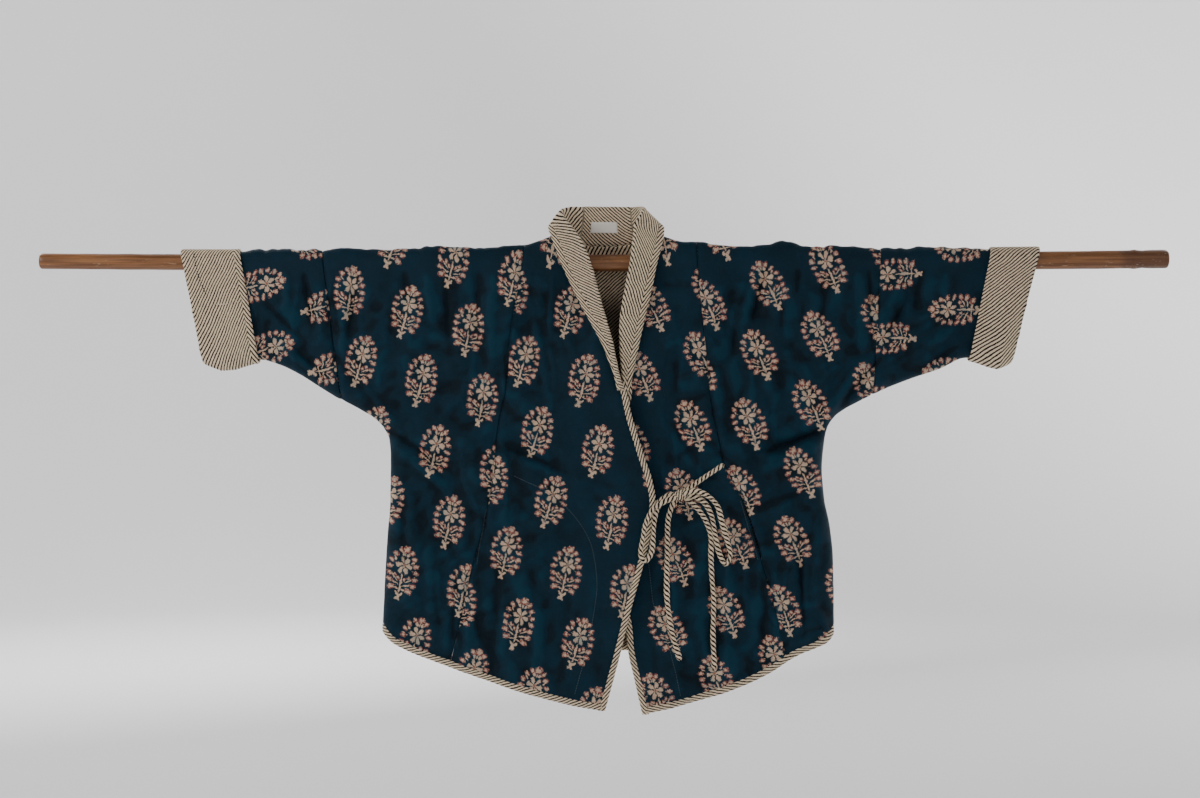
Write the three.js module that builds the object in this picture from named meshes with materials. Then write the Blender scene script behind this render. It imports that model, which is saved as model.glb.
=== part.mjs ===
// Wrap-front kimono jacket of quilted cotton, hung flat on a bamboo rod that runs through its sleeves.
//
// Frame: +Z up, +X to the wearer's left, -Y is the front. The origin is on the rod's axis at mid length.
// Units are millimetres. "right" and "left" are the wearer's, so the right half is at negative X.
//
// The garment is one front skin for each half and one back skin. A skin wraps a quarter turn over the rod
// and then hangs straight down, and closes on the other face along the underarm and side seams.
// A point on it is given by x and by its drop h: -WRAP on the shoulder line, 0 level with the rod's axis,
// and then the distance below it. Every cut piece is a wall laid along a stretch of a skin.

import * as THREE from "three";

// ---------------------------------------------------------------- driving dimensions

const WALL = 3; // quilted cloth with its lining
const COLLAR_WALL = 2.4;
const CUFF_WALL = 2.6;
const SEAM = 0.3; // gap between neighbouring pieces
const SEAT = 0.35; // gap between the cloth and the rod that carries it
const WRAP = 25; // drop used by the quarter turn over the rod
const ROLL_OVER = 17; // width of the rounding along the side and underarm seams

const BINDING_WIDTH = 9;
const BINDING_WALL = 4.2;
const COLLAR_BINDING_WALL = 3.4;

const ROD_HALF = 761;
const ROD_RADIUS = { left: 10.6, right: 12.4 }; // at the -X end and the +X end
const ROD_BOW = 4; // how far the ends lie above the middle
const ROD_TILT = 1.5;

const TIE_WIDTH = 8;
const TIE_WALL = 1.8;

// ---------------------------------------------------------------- tables, one row for each section

// How far the shoulder line stands above a plain seat on the rod.
const SHOULDER_LIFT = [
  { x: -620, lift: 0 },
  { x: -470, lift: 0.3 },
  { x: -424, lift: 0.2 },
  { x: -380, lift: 1.4 },
  { x: -330, lift: 3.6 },
  { x: -275, lift: 3.2 },
  { x: -221, lift: 5.6 },
  { x: -167, lift: 3.4 },
  { x: -113, lift: 9 },
  { x: -86, lift: 17 },
  { x: -62, lift: 25 },
  { x: 0, lift: 27 },
  { x: 66, lift: 25 },
  { x: 103, lift: 15 },
  { x: 130, lift: 11 },
  { x: 177, lift: 5 },
  { x: 211, lift: 7.4 },
  { x: 250, lift: 10 },
  { x: 270, lift: 5.2 },
  { x: 319, lift: 4.6 },
  { x: 360, lift: 2.6 },
  { x: 400, lift: 0.6 },
  { x: 427, lift: 2.2 },
  { x: 454, lift: 0.2 },
  { x: 620, lift: 0 },
];

// The princess seam of each front.
const PRINCESS = {
  right: [
    { z: 24, x: -107 },
    { z: -32, x: -115 },
    { z: -100, x: -126 },
    { z: -167, x: -131 },
    { z: -221, x: -142 },
    { z: -316, x: -154 },
    { z: -370, x: -165 },
    { z: -424, x: -181 },
    { z: -478, x: -192 },
    { z: -560, x: -212 },
  ],
  left: [
    { z: 22, x: 125 },
    { z: -32, x: 128 },
    { z: -107, x: 136 },
    { z: -181, x: 143 },
    { z: -235, x: 154 },
    { z: -270, x: 161 },
    { z: -323, x: 188 },
    { z: -404, x: 213 },
    { z: -444, x: 224 },
    { z: -560, x: 252 },
  ],
};

// The underarm curve below the sleeve seam, and then the side seam.
const SIDE = {
  right: [
    { z: -184, x: -354 },
    { z: -198, x: -327 },
    { z: -209, x: -309 },
    { z: -223, x: -296 },
    { z: -238, x: -289 },
    { z: -262, x: -287 },
    { z: -316, x: -287.5 },
    { z: -370, x: -291.5 },
    { z: -424, x: -294.5 },
    { z: -500, x: -298.5 },
  ],
  left: [
    { z: -177, x: 362 },
    { z: -188, x: 340 },
    { z: -196, x: 325 },
    { z: -207, x: 310 },
    { z: -223, x: 300 },
    { z: -242, x: 296 },
    { z: -275, x: 293 },
    { z: -316, x: 296 },
    { z: -356, x: 304 },
    { z: -397, x: 308 },
    { z: -505, x: 310 },
  ],
};

// The underarm of the sleeve, from the sleeve seam to the end inside the cuff.
const UNDERARM = {
  right: [
    { x: -354, z: -184 },
    { x: -383, z: -166 },
    { x: -410, z: -149 },
    { x: -437, z: -136 },
    { x: -462, z: -129 },
    { x: -560, z: -124 },
  ],
  left: [
    { x: 362, z: -177 },
    { x: 373, z: -171 },
    { x: 413, z: -155 },
    { x: 454, z: -141 },
    { x: 485, z: -127 },
    { x: 570, z: -122 },
  ],
};

// Slanting rings of the sleeve: x on the shoulder line and how much it changes down to the underarm.
const SLEEVE_RINGS = {
  right: { seam: { x: -380, slant: 26 }, cuff: { x: -490, slant: 28 }, end: { x: -569, slant: 32 } },
  left: { seam: { x: 373, slant: -11 }, cuff: { x: 521, slant: -36 }, end: { x: 586, slant: -40 } },
};
const RING_TOP = 18; // the height where a ring's x is measured
const RING_DROP = 150;

// The neckline that the collar stands on, and below it the bound front edge.
const NECKLINE = {
  right: [
    { z: 40, x: -64 },
    { z: 20, x: -48 },
    { z: 0, x: -34 },
    { z: -32, x: -20 },
    { z: -65, x: -7 },
    { z: -107, x: 7 },
    { z: -147, x: 17.5 },
    { z: -180, x: 24 },
  ],
  left: [
    { z: 40, x: 68 },
    { z: 20, x: 55 },
    { z: 0, x: 48 },
    { z: -32, x: 40 },
    { z: -65, x: 33 },
    { z: -107, x: 29 },
    { z: -132, x: 29 },
    { z: -180, x: 31 },
  ],
};
const FRONT_EDGE = {
  right: [
    { z: -140, x: 23 },
    { z: -176, x: 31 },
    { z: -205, x: 37 },
    { z: -235, x: 46 },
    { z: -262, x: 54.5 },
    { z: -292, x: 64.5 },
    { z: -323, x: 69.5 },
    { z: -356, x: 65 },
    { z: -383, x: 58.5 },
    { z: -418, x: 49.5 },
    { z: -455, x: 39 },
    { z: -491, x: 30 },
    { z: -526, x: 21.5 },
    { z: -566, x: 11 },
    { z: -603, x: 1 },
  ],
  left: [
    { z: -140, x: 30 },
    { z: -176, x: 29 },
    { z: -211, x: 20 },
    { z: -256, x: 8 },
    { z: -296, x: 0 },
    { z: -323, x: -3 },
    { z: -356, x: 0 },
    { z: -396, x: 8 },
    { z: -436, x: 17 },
    { z: -466, x: 25 },
    { z: -492, x: 29.5 },
    { z: -523, x: 32.5 },
    { z: -559, x: 40.5 },
    { z: -610, x: 52 },
  ],
};
const BREAK_Z = -172; // where the collar's stand ends and the front edge begins

// The hems.
const HEM = {
  right: [
    { x: -300, z: -494 },
    { x: -292, z: -504 },
    { x: -283, z: -512 },
    { x: -265, z: -521 },
    { x: -223, z: -537.5 },
    { x: -177, z: -555 },
    { x: -130, z: -571 },
    { x: -84, z: -584.5 },
    { x: -38, z: -595.5 },
    { x: 3, z: -602 },
  ],
  left: [
    { x: 48, z: -608 },
    { x: 96, z: -597.5 },
    { x: 146, z: -583 },
    { x: 196, z: -565 },
    { x: 224, z: -551 },
    { x: 246, z: -536.5 },
    { x: 264, z: -526 },
    { x: 285, z: -518 },
    { x: 300, z: -510.5 },
    { x: 311, z: -498 },
  ],
  back: [
    { x: -300, z: -494 },
    { x: -283, z: -503 },
    { x: -200, z: -512 },
    { x: 0, z: -525 },
    { x: 200, z: -515 },
    { x: 295, z: -507 },
    { x: 311, z: -498 },
  ],
};

// The largest folds: a soft ridge, or a trough where rise is negative, from one point to another.
const FOLDS = {
  right: [
    { x1: -292, z1: -236, x2: -205, z2: -285, width: 15, rise: -4 },
    { x1: -150, z1: -232, x2: 20, z2: -305, width: 13, rise: -3 },
    { x1: -180, z1: -245, x2: -30, z2: -325, width: 15, rise: 3 },
    { x1: -208, z1: -10, x2: -190, z2: -190, width: 16, rise: 3.5 },
    { x1: -262, z1: -320, x2: -252, z2: -480, width: 16, rise: 4 },
    { x1: -100, z1: -380, x2: -120, z2: -570, width: 22, rise: 3 },
    { x1: -300, z1: -20, x2: -318, z2: -130, width: 13, rise: 2.5 },
    { x1: -396, z1: -30, x2: -376, z2: -140, width: 12, rise: 2.5 },
    { x1: -450, z1: -90, x2: -380, z2: -150, width: 9, rise: -3 },
  ],
  left: [
    { x1: 298, z1: -226, x2: 200, z2: -262, width: 12, rise: -6 },
    { x1: 290, z1: -262, x2: 190, z2: -300, width: 15, rise: 4 },
    { x1: 178, z1: -4, x2: 164, z2: -150, width: 13, rise: -4.5 },
    { x1: 250, z1: 0, x2: 214, z2: -200, width: 14, rise: 5 },
    { x1: 412, z1: -30, x2: 386, z2: -120, width: 10, rise: -4.5 },
    { x1: 515, z1: -84, x2: 432, z2: -136, width: 11, rise: -5.5 },
    { x1: 330, z1: -20, x2: 330, z2: -150, width: 14, rise: 3 },
    { x1: 240, z1: -330, x2: 262, z2: -500, width: 18, rise: 4.5 },
    { x1: 200, z1: -420, x2: 190, z2: -560, width: 17, rise: -3.5 },
    { x1: 110, z1: -330, x2: 128, z2: -570, width: 20, rise: -3 },
  ],
  back: [
    { x1: -180, z1: -60, x2: -200, z2: -480, width: 26, rise: 4 },
    { x1: -70, z1: -90, x2: -90, z2: -500, width: 24, rise: -4 },
    { x1: 40, z1: -80, x2: 30, z2: -500, width: 26, rise: 4 },
    { x1: 150, z1: -60, x2: 175, z2: -490, width: 24, rise: -4 },
    { x1: -290, z1: -232, x2: -190, z2: -275, width: 14, rise: -4 },
    { x1: 296, z1: -228, x2: 200, z2: -270, width: 14, rise: -4 },
    { x1: -420, z1: -40, x2: -390, z2: -140, width: 13, rise: 3 },
    { x1: 430, z1: -40, x2: 395, z2: -140, width: 13, rise: 3 },
  ],
};

// The collar's sections, from the tip on the right front, round the neck, to the tip on the left front.
// Its seam lies on the neckline at height `at` of a front, or at x `at` of the back. The roll is the line
// where it turns outwards and the edge is its outer bound edge.
const COLLAR = [
  { on: "right", at: -173, rollX: 27.5, rollY: -30, rollZ: -173, edgeX: 18, edgeY: -34, edgeZ: -172 },
  { on: "right", at: -150, rollX: 20, rollY: -30, rollZ: -150, edgeX: 13, edgeY: -34, edgeZ: -149 },
  { on: "right", at: -130, rollX: 16, rollY: -30, rollZ: -130, edgeX: 5, edgeY: -33, edgeZ: -130 },
  { on: "right", at: -107, rollX: 11.5, rollY: -30, rollZ: -107, edgeX: -3.5, edgeY: -32, edgeZ: -109 },
  { on: "right", at: -66, rollX: 0, rollY: -28.5, rollZ: -66, edgeX: -25, edgeY: -27, edgeZ: -69 },
  { on: "right", at: -32, rollX: -9, rollY: -27.5, rollZ: -32, edgeX: -43, edgeY: -24.5, edgeZ: -34 },
  { on: "right", at: -2, rollX: -17, rollY: -27, rollZ: -3, edgeX: -57, edgeY: -22.5, edgeZ: -3 },
  { on: "right", at: 17, rollX: -27, rollY: -26, rollZ: 22, edgeX: -65, edgeY: -19.5, edgeZ: 18 },
  { on: "right", at: 31, rollX: -41, rollY: -22.5, rollZ: 45, edgeX: -71, edgeY: -14, edgeZ: 34 },
  { on: "back", at: -61, rollX: -56, rollY: -9, rollZ: 66, edgeX: -75, edgeY: 0, edgeZ: 47 },
  { on: "back", at: -52, rollX: -49, rollY: 10, rollZ: 74, edgeX: -68, edgeY: 19, edgeZ: 40 },
  { on: "back", at: -32, rollX: -26, rollY: 19, rollZ: 76.5, edgeX: -40, edgeY: 29, edgeZ: 28 },
  { on: "back", at: 2, rollX: 4, rollY: 21, rollZ: 77, edgeX: 2, edgeY: 31.5, edgeZ: 23 },
  { on: "back", at: 36, rollX: 30, rollY: 18, rollZ: 76, edgeX: 44, edgeY: 29, edgeZ: 28 },
  { on: "back", at: 56, rollX: 48, rollY: 8, rollZ: 74.5, edgeX: 75, edgeY: 19, edgeZ: 40 },
  { on: "back", at: 65, rollX: 50, rollY: -9, rollZ: 68, edgeX: 81, edgeY: 0, edgeZ: 47 },
  { on: "left", at: 31, rollX: 41, rollY: -21, rollZ: 50, edgeX: 80, edgeY: -13, edgeZ: 34 },
  { on: "left", at: 17, rollX: 38, rollY: -24.5, rollZ: 25, edgeX: 76, edgeY: -18.5, edgeZ: 16 },
  { on: "left", at: -2, rollX: 35, rollY: -25, rollZ: 0, edgeX: 71, edgeY: -21, edgeZ: -3 },
  { on: "left", at: -32, rollX: 29, rollY: -24, rollZ: -30, edgeX: 65, edgeY: -22, edgeZ: -33 },
  { on: "left", at: -66, rollX: 22.5, rollY: -23.5, rollZ: -66, edgeX: 57, edgeY: -22, edgeZ: -67 },
  { on: "left", at: -100, rollX: 20.5, rollY: -23, rollZ: -100, edgeX: 49, edgeY: -22, edgeZ: -102 },
  { on: "left", at: -132, rollX: 22, rollY: -22, rollZ: -132, edgeX: 42.5, edgeY: -22, edgeZ: -134 },
  { on: "left", at: -173, rollX: 25.5, rollY: -22, rollZ: -173, edgeX: 34, edgeY: -22, edgeZ: -173 },
];
const COLLAR_TURN = { front: 2, back: 4.2 }; // radius of the roll over the fronts and behind the neck

const LABEL = { width: 33, height: 15, thick: 0.7, x: 1, drop: 28 }; // drop below the collar's roll

// The tie: centre lines of its stretches, flat on the left front. side is the way its width points.
const KNOT = { x: 102, y: -30, z: -312, rx: 11, ry: 5.5, rz: 7.5, tilt: 24 };
const TIES = {
  tie_right: [
    { x: 71.5, y: -31.6, z: -323 },
    { x: 78, y: -32.4, z: -317 },
    { x: 86, y: -31.8, z: -312.5 },
    { x: 98, y: -31, z: -311 },
  ],
  tie_left: [
    { x: 161, y: -20.6, z: -271 },
    { x: 146, y: -22, z: -281 },
    { x: 128, y: -24.4, z: -293 },
    { x: 104, y: -28, z: -310 },
  ],
  bow_loop_right: [
    { x: 97, y: -34.2, z: -312 },
    { x: 84, y: -36.4, z: -317 },
    { x: 72, y: -37.4, z: -327 },
    { x: 67, y: -36.6, z: -345 },
    { x: 65.5, y: -36, z: -368 },
    { x: 62.5, y: -36.4, z: -390 },
    { x: 54.5, y: -38.4, z: -400 },
    { x: 49, y: -40.2, z: -391 },
    { x: 52, y: -40.4, z: -368 },
    { x: 56, y: -40.8, z: -348 },
    { x: 66, y: -41.6, z: -330 },
    { x: 82, y: -40.2, z: -319.5 },
    { x: 98, y: -34.6, z: -315 },
  ],
  bow_loop_left: [
    { x: 104, y: -34, z: -311 },
    { x: 120, y: -34.4, z: -306.5 },
    { x: 137, y: -33.4, z: -312 },
    { x: 151, y: -32, z: -326 },
    { x: 158, y: -30.6, z: -350 },
    { x: 165, y: -29.6, z: -374 },
    { x: 169, y: -29, z: -393 },
    { x: 163, y: -27, z: -405 },
    { x: 155, y: -25, z: -392 },
    { x: 149, y: -24.6, z: -366 },
    { x: 144, y: -25, z: -340 },
    { x: 134, y: -26, z: -322 },
    { x: 118, y: -28, z: -313 },
    { x: 104, y: -29, z: -313 },
  ],
  tie_tail_right: [
    { x: 100, y: -29.5, z: -313 },
    { x: 91.5, y: -27.6, z: -326 },
    { x: 86, y: -24.6, z: -345 },
    { x: 85, y: -23.6, z: -368 },
    { x: 84.5, y: -23.4, z: -400 },
    { x: 84, y: -23.4, z: -430 },
    { x: 85, y: -23.4, z: -458 },
    { x: 92, y: -23.2, z: -500 },
    { x: 102, y: -23, z: -534 },
  ],
  tie_tail_left: [
    { x: 108, y: -25.4, z: -315 },
    { x: 122, y: -22.6, z: -327 },
    { x: 136, y: -21.4, z: -346 },
    { x: 143, y: -21.2, z: -368 },
    { x: 143.5, y: -21.6, z: -395 },
    { x: 144.5, y: -22, z: -422 },
    { x: 147, y: -22.6, z: -452 },
    { x: 146, y: -23, z: -498 },
    { x: 148, y: -23, z: -545 },
  ],
};

// ---------------------------------------------------------------- small mathematics

const clamp = (v, lo, hi) => Math.min(hi, Math.max(lo, v));
const mix = (a, b, t) => a + (b - a) * t;
const ease = (a, b, v) => {
  const t = clamp((v - a) / (b - a), 0, 1);
  return t * t * (3 - 2 * t);
};
const add = (a, b, s = 1) => a.map((v, i) => v + s * b[i]);
const mixPoint = (a, b, t) => a.map((v, i) => mix(v, b[i], t));
const cross = (a, b) => [
  a[1] * b[2] - a[2] * b[1],
  a[2] * b[0] - a[0] * b[2],
  a[0] * b[1] - a[1] * b[0],
];
const unit = (a) => {
  const length = Math.hypot(...a) || 1;
  return a.map((v) => v / length);
};

// A smooth value of column `out` against column `key`, whose rows run steadily up or down.
function lookUp(rows, key, out, at) {
  const way = Math.sign(rows[rows.length - 1][key] - rows[0][key]);
  let i = 0;
  while (i < rows.length - 2 && way * (at - rows[i + 1][key]) > 0) i++;
  const [a, b] = [rows[i], rows[i + 1]];
  const span = b[key] - a[key];
  const slope = (p, q) => (q[out] - p[out]) / (q[key] - p[key]);
  const here = slope(a, b);
  const limit = (other) => (other * here <= 0 ? 0 : (2 * other * here) / (other + here));
  const start = i > 0 ? limit(slope(rows[i - 1], a)) : here;
  const end = i < rows.length - 2 ? limit(slope(b, rows[i + 2])) : here;
  const t = clamp((at - a[key]) / span, 0, 1);
  const [t2, t3] = [t * t, t * t * t];
  return (
    a[out] * (2 * t3 - 3 * t2 + 1) +
    start * span * (t3 - 2 * t2 + t) +
    b[out] * (3 * t2 - 2 * t3) +
    end * span * (t3 - t2)
  );
}

// Distance from (x, z) to the segment from (x1, z1) to (x2, z2), and how far along it the nearest point is.
function toSegment(x, z, x1, z1, x2, z2) {
  const [dx, dz] = [x2 - x1, z2 - z1];
  const t = clamp(((x - x1) * dx + (z - z1) * dz) / (dx * dx + dz * dz), 0, 1);
  return { distance: Math.hypot(x - x1 - t * dx, z - z1 - t * dz), t };
}

// ---------------------------------------------------------------- the rod's line and the skins

const rodZ = (x) => ROD_BOW * (x / ROD_HALF) ** 2 + (ROD_TILT * x) / ROD_HALF;
const rodRadius = (x) => mix(ROD_RADIUS.left, ROD_RADIUS.right, (x + ROD_HALF) / (2 * ROD_HALF));
const halfDepth = (x) => rodRadius(x) + SEAT + WALL / 2 + 1;
const shoulderRise = (x) => rodRadius(x) + SEAT + WALL / 2 + lookUp(SHOULDER_LIFT, "x", "lift", x);

const SILHOUETTE = {};
for (const half of ["right", "left"]) {
  const underarm = [...UNDERARM[half]].reverse().slice(0, -1);
  SILHOUETTE[half] = [...underarm, ...SIDE[half], { x: SIDE[half].at(-1).x, z: -700 }];
}

// How far (x, z) lies inside the closed seams of its half.
function inset(x, z) {
  const line = SILHOUETTE[x < 0 ? "right" : "left"];
  let nearest = Infinity;
  for (let i = 0; i + 1 < line.length; i++)
    nearest = Math.min(
      nearest,
      toSegment(x, z, line[i].x, line[i].z, line[i + 1].x, line[i + 1].z).distance,
    );
  return nearest;
}

// The x of a slanting ring of the sleeve at height z.
function ringX(half, ring, z) {
  const { x, slant } = SLEEVE_RINGS[half][ring];
  return x + (slant * (RING_TOP - z)) / RING_DROP;
}

// The folds' rise of a skin at (x, z), which fades out towards the cuffs.
function foldRise(name, x, z) {
  const half = x < 0 ? "right" : "left";
  const cuff = Math.abs(ringX(half, "cuff", z));
  let rise = 0;
  for (const f of FOLDS[name]) {
    const { distance, t } = toSegment(x, z, f.x1, f.z1, f.x2, f.z2);
    const fade = 0.35 + 0.65 * Math.sin(Math.PI * clamp(0.12 + 0.76 * t, 0, 1));
    rise += f.rise * fade * Math.exp(-((distance / f.width) ** 2));
  }
  return rise * ease(cuff, cuff - 40, Math.abs(x));
}

// How far a skin stands from the plane of the seams. The right front laps over the left one.
const DEPTH = {
  right(x, z) {
    const lap = ease(118, 16, lookUp(FRONT_EDGE.right, "z", "x", z) - x) * ease(-30, -132, z);
    const calm = 1 - ease(-100, -30, x) * ease(-100, -140, z);
    return (
      halfDepth(x) +
      4.5 * ease(0, -160, z) * ease(-420, -280, x) +
      lap * (11.5 - 5 * ease(-470, -600, z)) +
      foldRise("right", x, z) * calm * ease(0, -25, z)
    );
  },
  left(x, z) {
    const calm = ease(60, 105, x);
    return (
      halfDepth(x) +
      3.5 * ease(0, -160, z) * ease(420, 280, x) +
      foldRise("left", x, z) * calm * ease(0, -25, z)
    );
  },
  back(x, z) {
    const spread = 4 * ease(0, -220, z) * ease(420, 280, Math.abs(x));
    const neck = 6 * ease(95, 40, Math.abs(x - 2)) * ease(-160, 0, z);
    return halfDepth(x) + spread + neck + foldRise("back", x, z) * ease(0, -25, z);
  },
};

// A skin's point and outward normal. face is -1 on the fronts and 1 on the back.
function skin(name, x, h) {
  const face = name === "back" ? 1 : -1;
  if (h < 0) {
    const at = (px, ph) => {
      const turn = (Math.PI / 2) * (1 + ph / WRAP);
      return [
        px,
        face * DEPTH[name](px, rodZ(px)) * Math.sin(turn),
        rodZ(px) + shoulderRise(px) * Math.cos(turn),
      ];
    };
    const [across, down] = [
      add(at(x + 0.5, h), at(x - 0.5, h), -1),
      add(at(x, h + 0.1), at(x, h - 0.1), -1),
    ];
    const normal = unit(cross(across, down).map((v) => face * v));
    const point = at(x, h);
    if (Math.abs(point[1]) < SEAM / 2) {
      point[1] = (face * SEAM) / 2;
      normal[1] = 0;
    }
    return { point, normal: unit(normal) };
  }
  const z = rodZ(x) - h;
  const away = clamp(inset(x, z), 0, ROLL_OVER);
  const turn = Math.acos(1 - away / ROLL_OVER);
  const depth = DEPTH[name](x, z);
  const [dx, dz] = [
    DEPTH[name](x + 1, z) - DEPTH[name](x - 1, z),
    DEPTH[name](x, z + 1) - DEPTH[name](x, z - 1),
  ].map((v) => v / 2);
  let [ix, iz] = [0, 0];
  if (away < ROLL_OVER) {
    const step = away < 1 ? 1.5 : 0.5;
    const inward = nearestInward(x, z, step);
    [ix, iz] = inward;
  }
  const [s, c] = [Math.sin(turn), Math.cos(turn)];
  const normal = unit([
    -(s * s * dx + ((depth * c) / ROLL_OVER) * ix),
    face * s,
    -(s * s * dz + ((depth * c) / ROLL_OVER) * iz),
  ]);
  return { point: [x, face * (SEAM / 2 + (depth - SEAM / 2) * s), z], normal };
}

// The way in from the nearest closed seam, as a unit vector in x and z.
function nearestInward(x, z) {
  const half = x < 0 ? "right" : "left";
  const line = SILHOUETTE[half];
  let [nearest, way] = [Infinity, [0, 1]];
  for (let i = 0; i + 1 < line.length; i++) {
    const [a, b] = [line[i], line[i + 1]];
    const { distance, t } = toSegment(x, z, a.x, a.z, b.x, b.z);
    if (distance >= nearest) continue;
    nearest = distance;
    const foot = [mix(a.x, b.x, t), mix(a.z, b.z, t)];
    const along = [b.x - a.x, b.z - a.z];
    const side = half === "right" ? -1 : 1;
    const square = [side * along[1], -side * along[0]];
    way = distance > 0.05 ? [x - foot[0], z - foot[1]] : square;
  }
  const length = Math.hypot(...way);
  return way.map((v) => v / length);
}

// ---------------------------------------------------------------- from grids of points to closed walls

// A closed wall from rows of { point, normal }, reaching `out` outwards and `inn` inwards.
// ring closes each row. The thicknesses may be functions of the row and the column.
function wall(rows, out, inn, ring = false) {
  const [nr, nc] = [rows.length, rows[0].length];
  const far = (v, i, j) => (typeof v === "function" ? v(i, j) : v);
  const position = [];
  for (const sign of [1, -1])
    rows.forEach((row, i) =>
      row.forEach(({ point, normal }, j) =>
        position.push(...add(point, normal, sign > 0 ? far(out, i, j) : -far(inn, i, j))),
      ),
    );
  const index = [];
  const at = (layer, i, j) => layer * nr * nc + i * nc + (ring ? j % nc : j);
  const quad = (a, b, c, d) => index.push(a, b, c, a, c, d);
  const columns = ring ? nc : nc - 1;
  for (let i = 0; i + 1 < nr; i++)
    for (let j = 0; j < columns; j++) {
      quad(at(0, i, j), at(0, i + 1, j), at(0, i + 1, j + 1), at(0, i, j + 1));
      quad(at(1, i, j), at(1, i, j + 1), at(1, i + 1, j + 1), at(1, i + 1, j));
    }
  for (let j = 0; j < columns; j++) {
    quad(at(0, 0, j), at(0, 0, j + 1), at(1, 0, j + 1), at(1, 0, j));
    quad(at(0, nr - 1, j), at(1, nr - 1, j), at(1, nr - 1, j + 1), at(0, nr - 1, j + 1));
  }
  if (!ring)
    for (let i = 0; i + 1 < nr; i++) {
      quad(at(0, i, 0), at(1, i, 0), at(1, i + 1, 0), at(0, i + 1, 0));
      quad(at(0, i, nc - 1), at(0, i + 1, nc - 1), at(1, i + 1, nc - 1), at(1, i, nc - 1));
    }
  return geometryOf(position, index);
}

// A closed surface with its faces turned outwards.
function geometryOf(position, index) {
  const at = (k) => position.slice(3 * index[k], 3 * index[k] + 3);
  let volume = 0;
  for (let k = 0; k < index.length; k += 3) {
    const [a, b, c] = [at(k), at(k + 1), at(k + 2)];
    const normal = cross(b, c);
    volume += a[0] * normal[0] + a[1] * normal[1] + a[2] * normal[2];
  }
  const geometry = new THREE.BufferGeometry();
  geometry.setAttribute("position", new THREE.Float32BufferAttribute(position, 3));
  geometry.setIndex(volume < 0 ? [...index].reverse() : index);
  return geometry;
}

// Rows of points with normals found from their neighbours. outward(point) says which way is out.
function withNormals(rows, ring, outward) {
  const nc = rows[0].length;
  return rows.map((row, i) =>
    row.map((point, j) => {
      const up = rows[Math.max(0, i - 1)][j];
      const down = rows[Math.min(rows.length - 1, i + 1)][j];
      const before = row[ring ? (j + nc - 1) % nc : Math.max(0, j - 1)];
      const after = row[ring ? (j + 1) % nc : Math.min(nc - 1, j + 1)];
      const normal = unit(cross(add(down, up, -1), add(after, before, -1)));
      const out = outward(point, i, j);
      const dot = normal[0] * out[0] + normal[1] * out[1] + normal[2] * out[2];
      return { point, normal: dot < 0 ? normal.map((v) => -v) : normal };
    }),
  );
}

// ---------------------------------------------------------------- panels

// The drop of each row: over the rod, down to the underarm, and to the hem as shares of what is left.
const WRAP_ROWS = [0, 0.34, 0.68];
const BODY_DROPS = [0, 35, 75, 115, 145, 163, 176, 187, 197, 207, 217, 229, 243, 270, 300, 326, 356, 395, 440];
const HEM_SHARES = [0.35, 0.7, 1];
const ROW_COUNT = WRAP_ROWS.length + BODY_DROPS.length + HEM_SHARES.length;

// The drop of row i of a panel at x, where top is the drop it starts at and hem the height it ends at.
function rowDrop(i, x, top, hem) {
  if (i < WRAP_ROWS.length) return top * (1 - WRAP_ROWS[i]);
  const k = i - WRAP_ROWS.length;
  if (k < BODY_DROPS.length) return BODY_DROPS[k];
  const last = BODY_DROPS.at(-1);
  return mix(last, rodZ(x) - hem, HEM_SHARES[k - BODY_DROPS.length]);
}

// A panel's grid. from(z, i) and to(z, i) are its two sides, spread gives the shares between them.
function panelRows({ name, from, to, spread, top = () => -WRAP, hem }) {
  const rows = [];
  for (let i = 0; i < ROW_COUNT; i++) {
    const count = spread(0, 0, 1).length;
    const row = [];
    for (let j = 0; j < count; j++) {
      let [x, h] = [from(0, i), 0];
      for (let pass = 0; pass < 12; pass++) {
        h = rowDrop(i, x, top(x), hem(x));
        const z = h < 0 ? rodZ(x) + shoulderRise(x) * Math.cos((Math.PI / 2) * (1 + h / WRAP)) : rodZ(x) - h;
        x = mix(x, spread(from(z, h), to(z, h), z)[j], 0.8);
      }
      row.push(skin(name, x, h));
    }
    rows.push(row);
  }
  return rows;
}

const tableX = (table, half) => (z) => lookUp(table[half], "z", "x", z);

// The outer side of a body panel: the sleeve seam, and below it the underarm and the side seam.
function outerX(half, z) {
  const start = SIDE[half][0];
  const seamSpan = RING_TOP - start.z;
  const { x } = SLEEVE_RINGS[half].seam;
  return z > start.z ? mix(x, start.x, (RING_TOP - z) / seamSpan) : lookUp(SIDE[half], "z", "x", z);
}

// How far a body panel stays back from the sleeve seam: a little more where the seam meets the underarm.
const seamRoom = (z) => SEAM * (0.5 + 1.6 * ease(-120, -170, z) * ease(-196, -186, z));

// The inner side of a front: the neckline, and below the break the edge without its binding.
function innerX(half, z) {
  const side = half === "right" ? 1 : -1;
  const edge = lookUp(FRONT_EDGE[half], "z", "x", z) - side * (BINDING_WIDTH + SEAM);
  const neck = lookUp(NECKLINE[half], "z", "x", z);
  return mix(neck, edge, ease(BREAK_Z + 28, BREAK_Z, z));
}

// Columns that crowd towards the closed seam, so that its rounding is followed.
const EDGE_STEPS = [30, 55, 75, 90].map((deg) => ROLL_OVER * (1 - Math.cos((deg * Math.PI) / 180)));
function crowded(outer, inner, z, half, plain) {
  const way = half === "right" ? 1 : -1;
  const lean = 1 + 0.8 * ease(-150, -180, z) * ease(-240, -215, z);
  const xs = [outer + way * 0.02];
  for (const step of EDGE_STEPS) xs.push(outer + way * step * lean);
  const last = xs.at(-1);
  for (let k = 1; k <= plain; k++) xs.push(mix(last, inner, k / plain));
  return xs;
}

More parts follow.
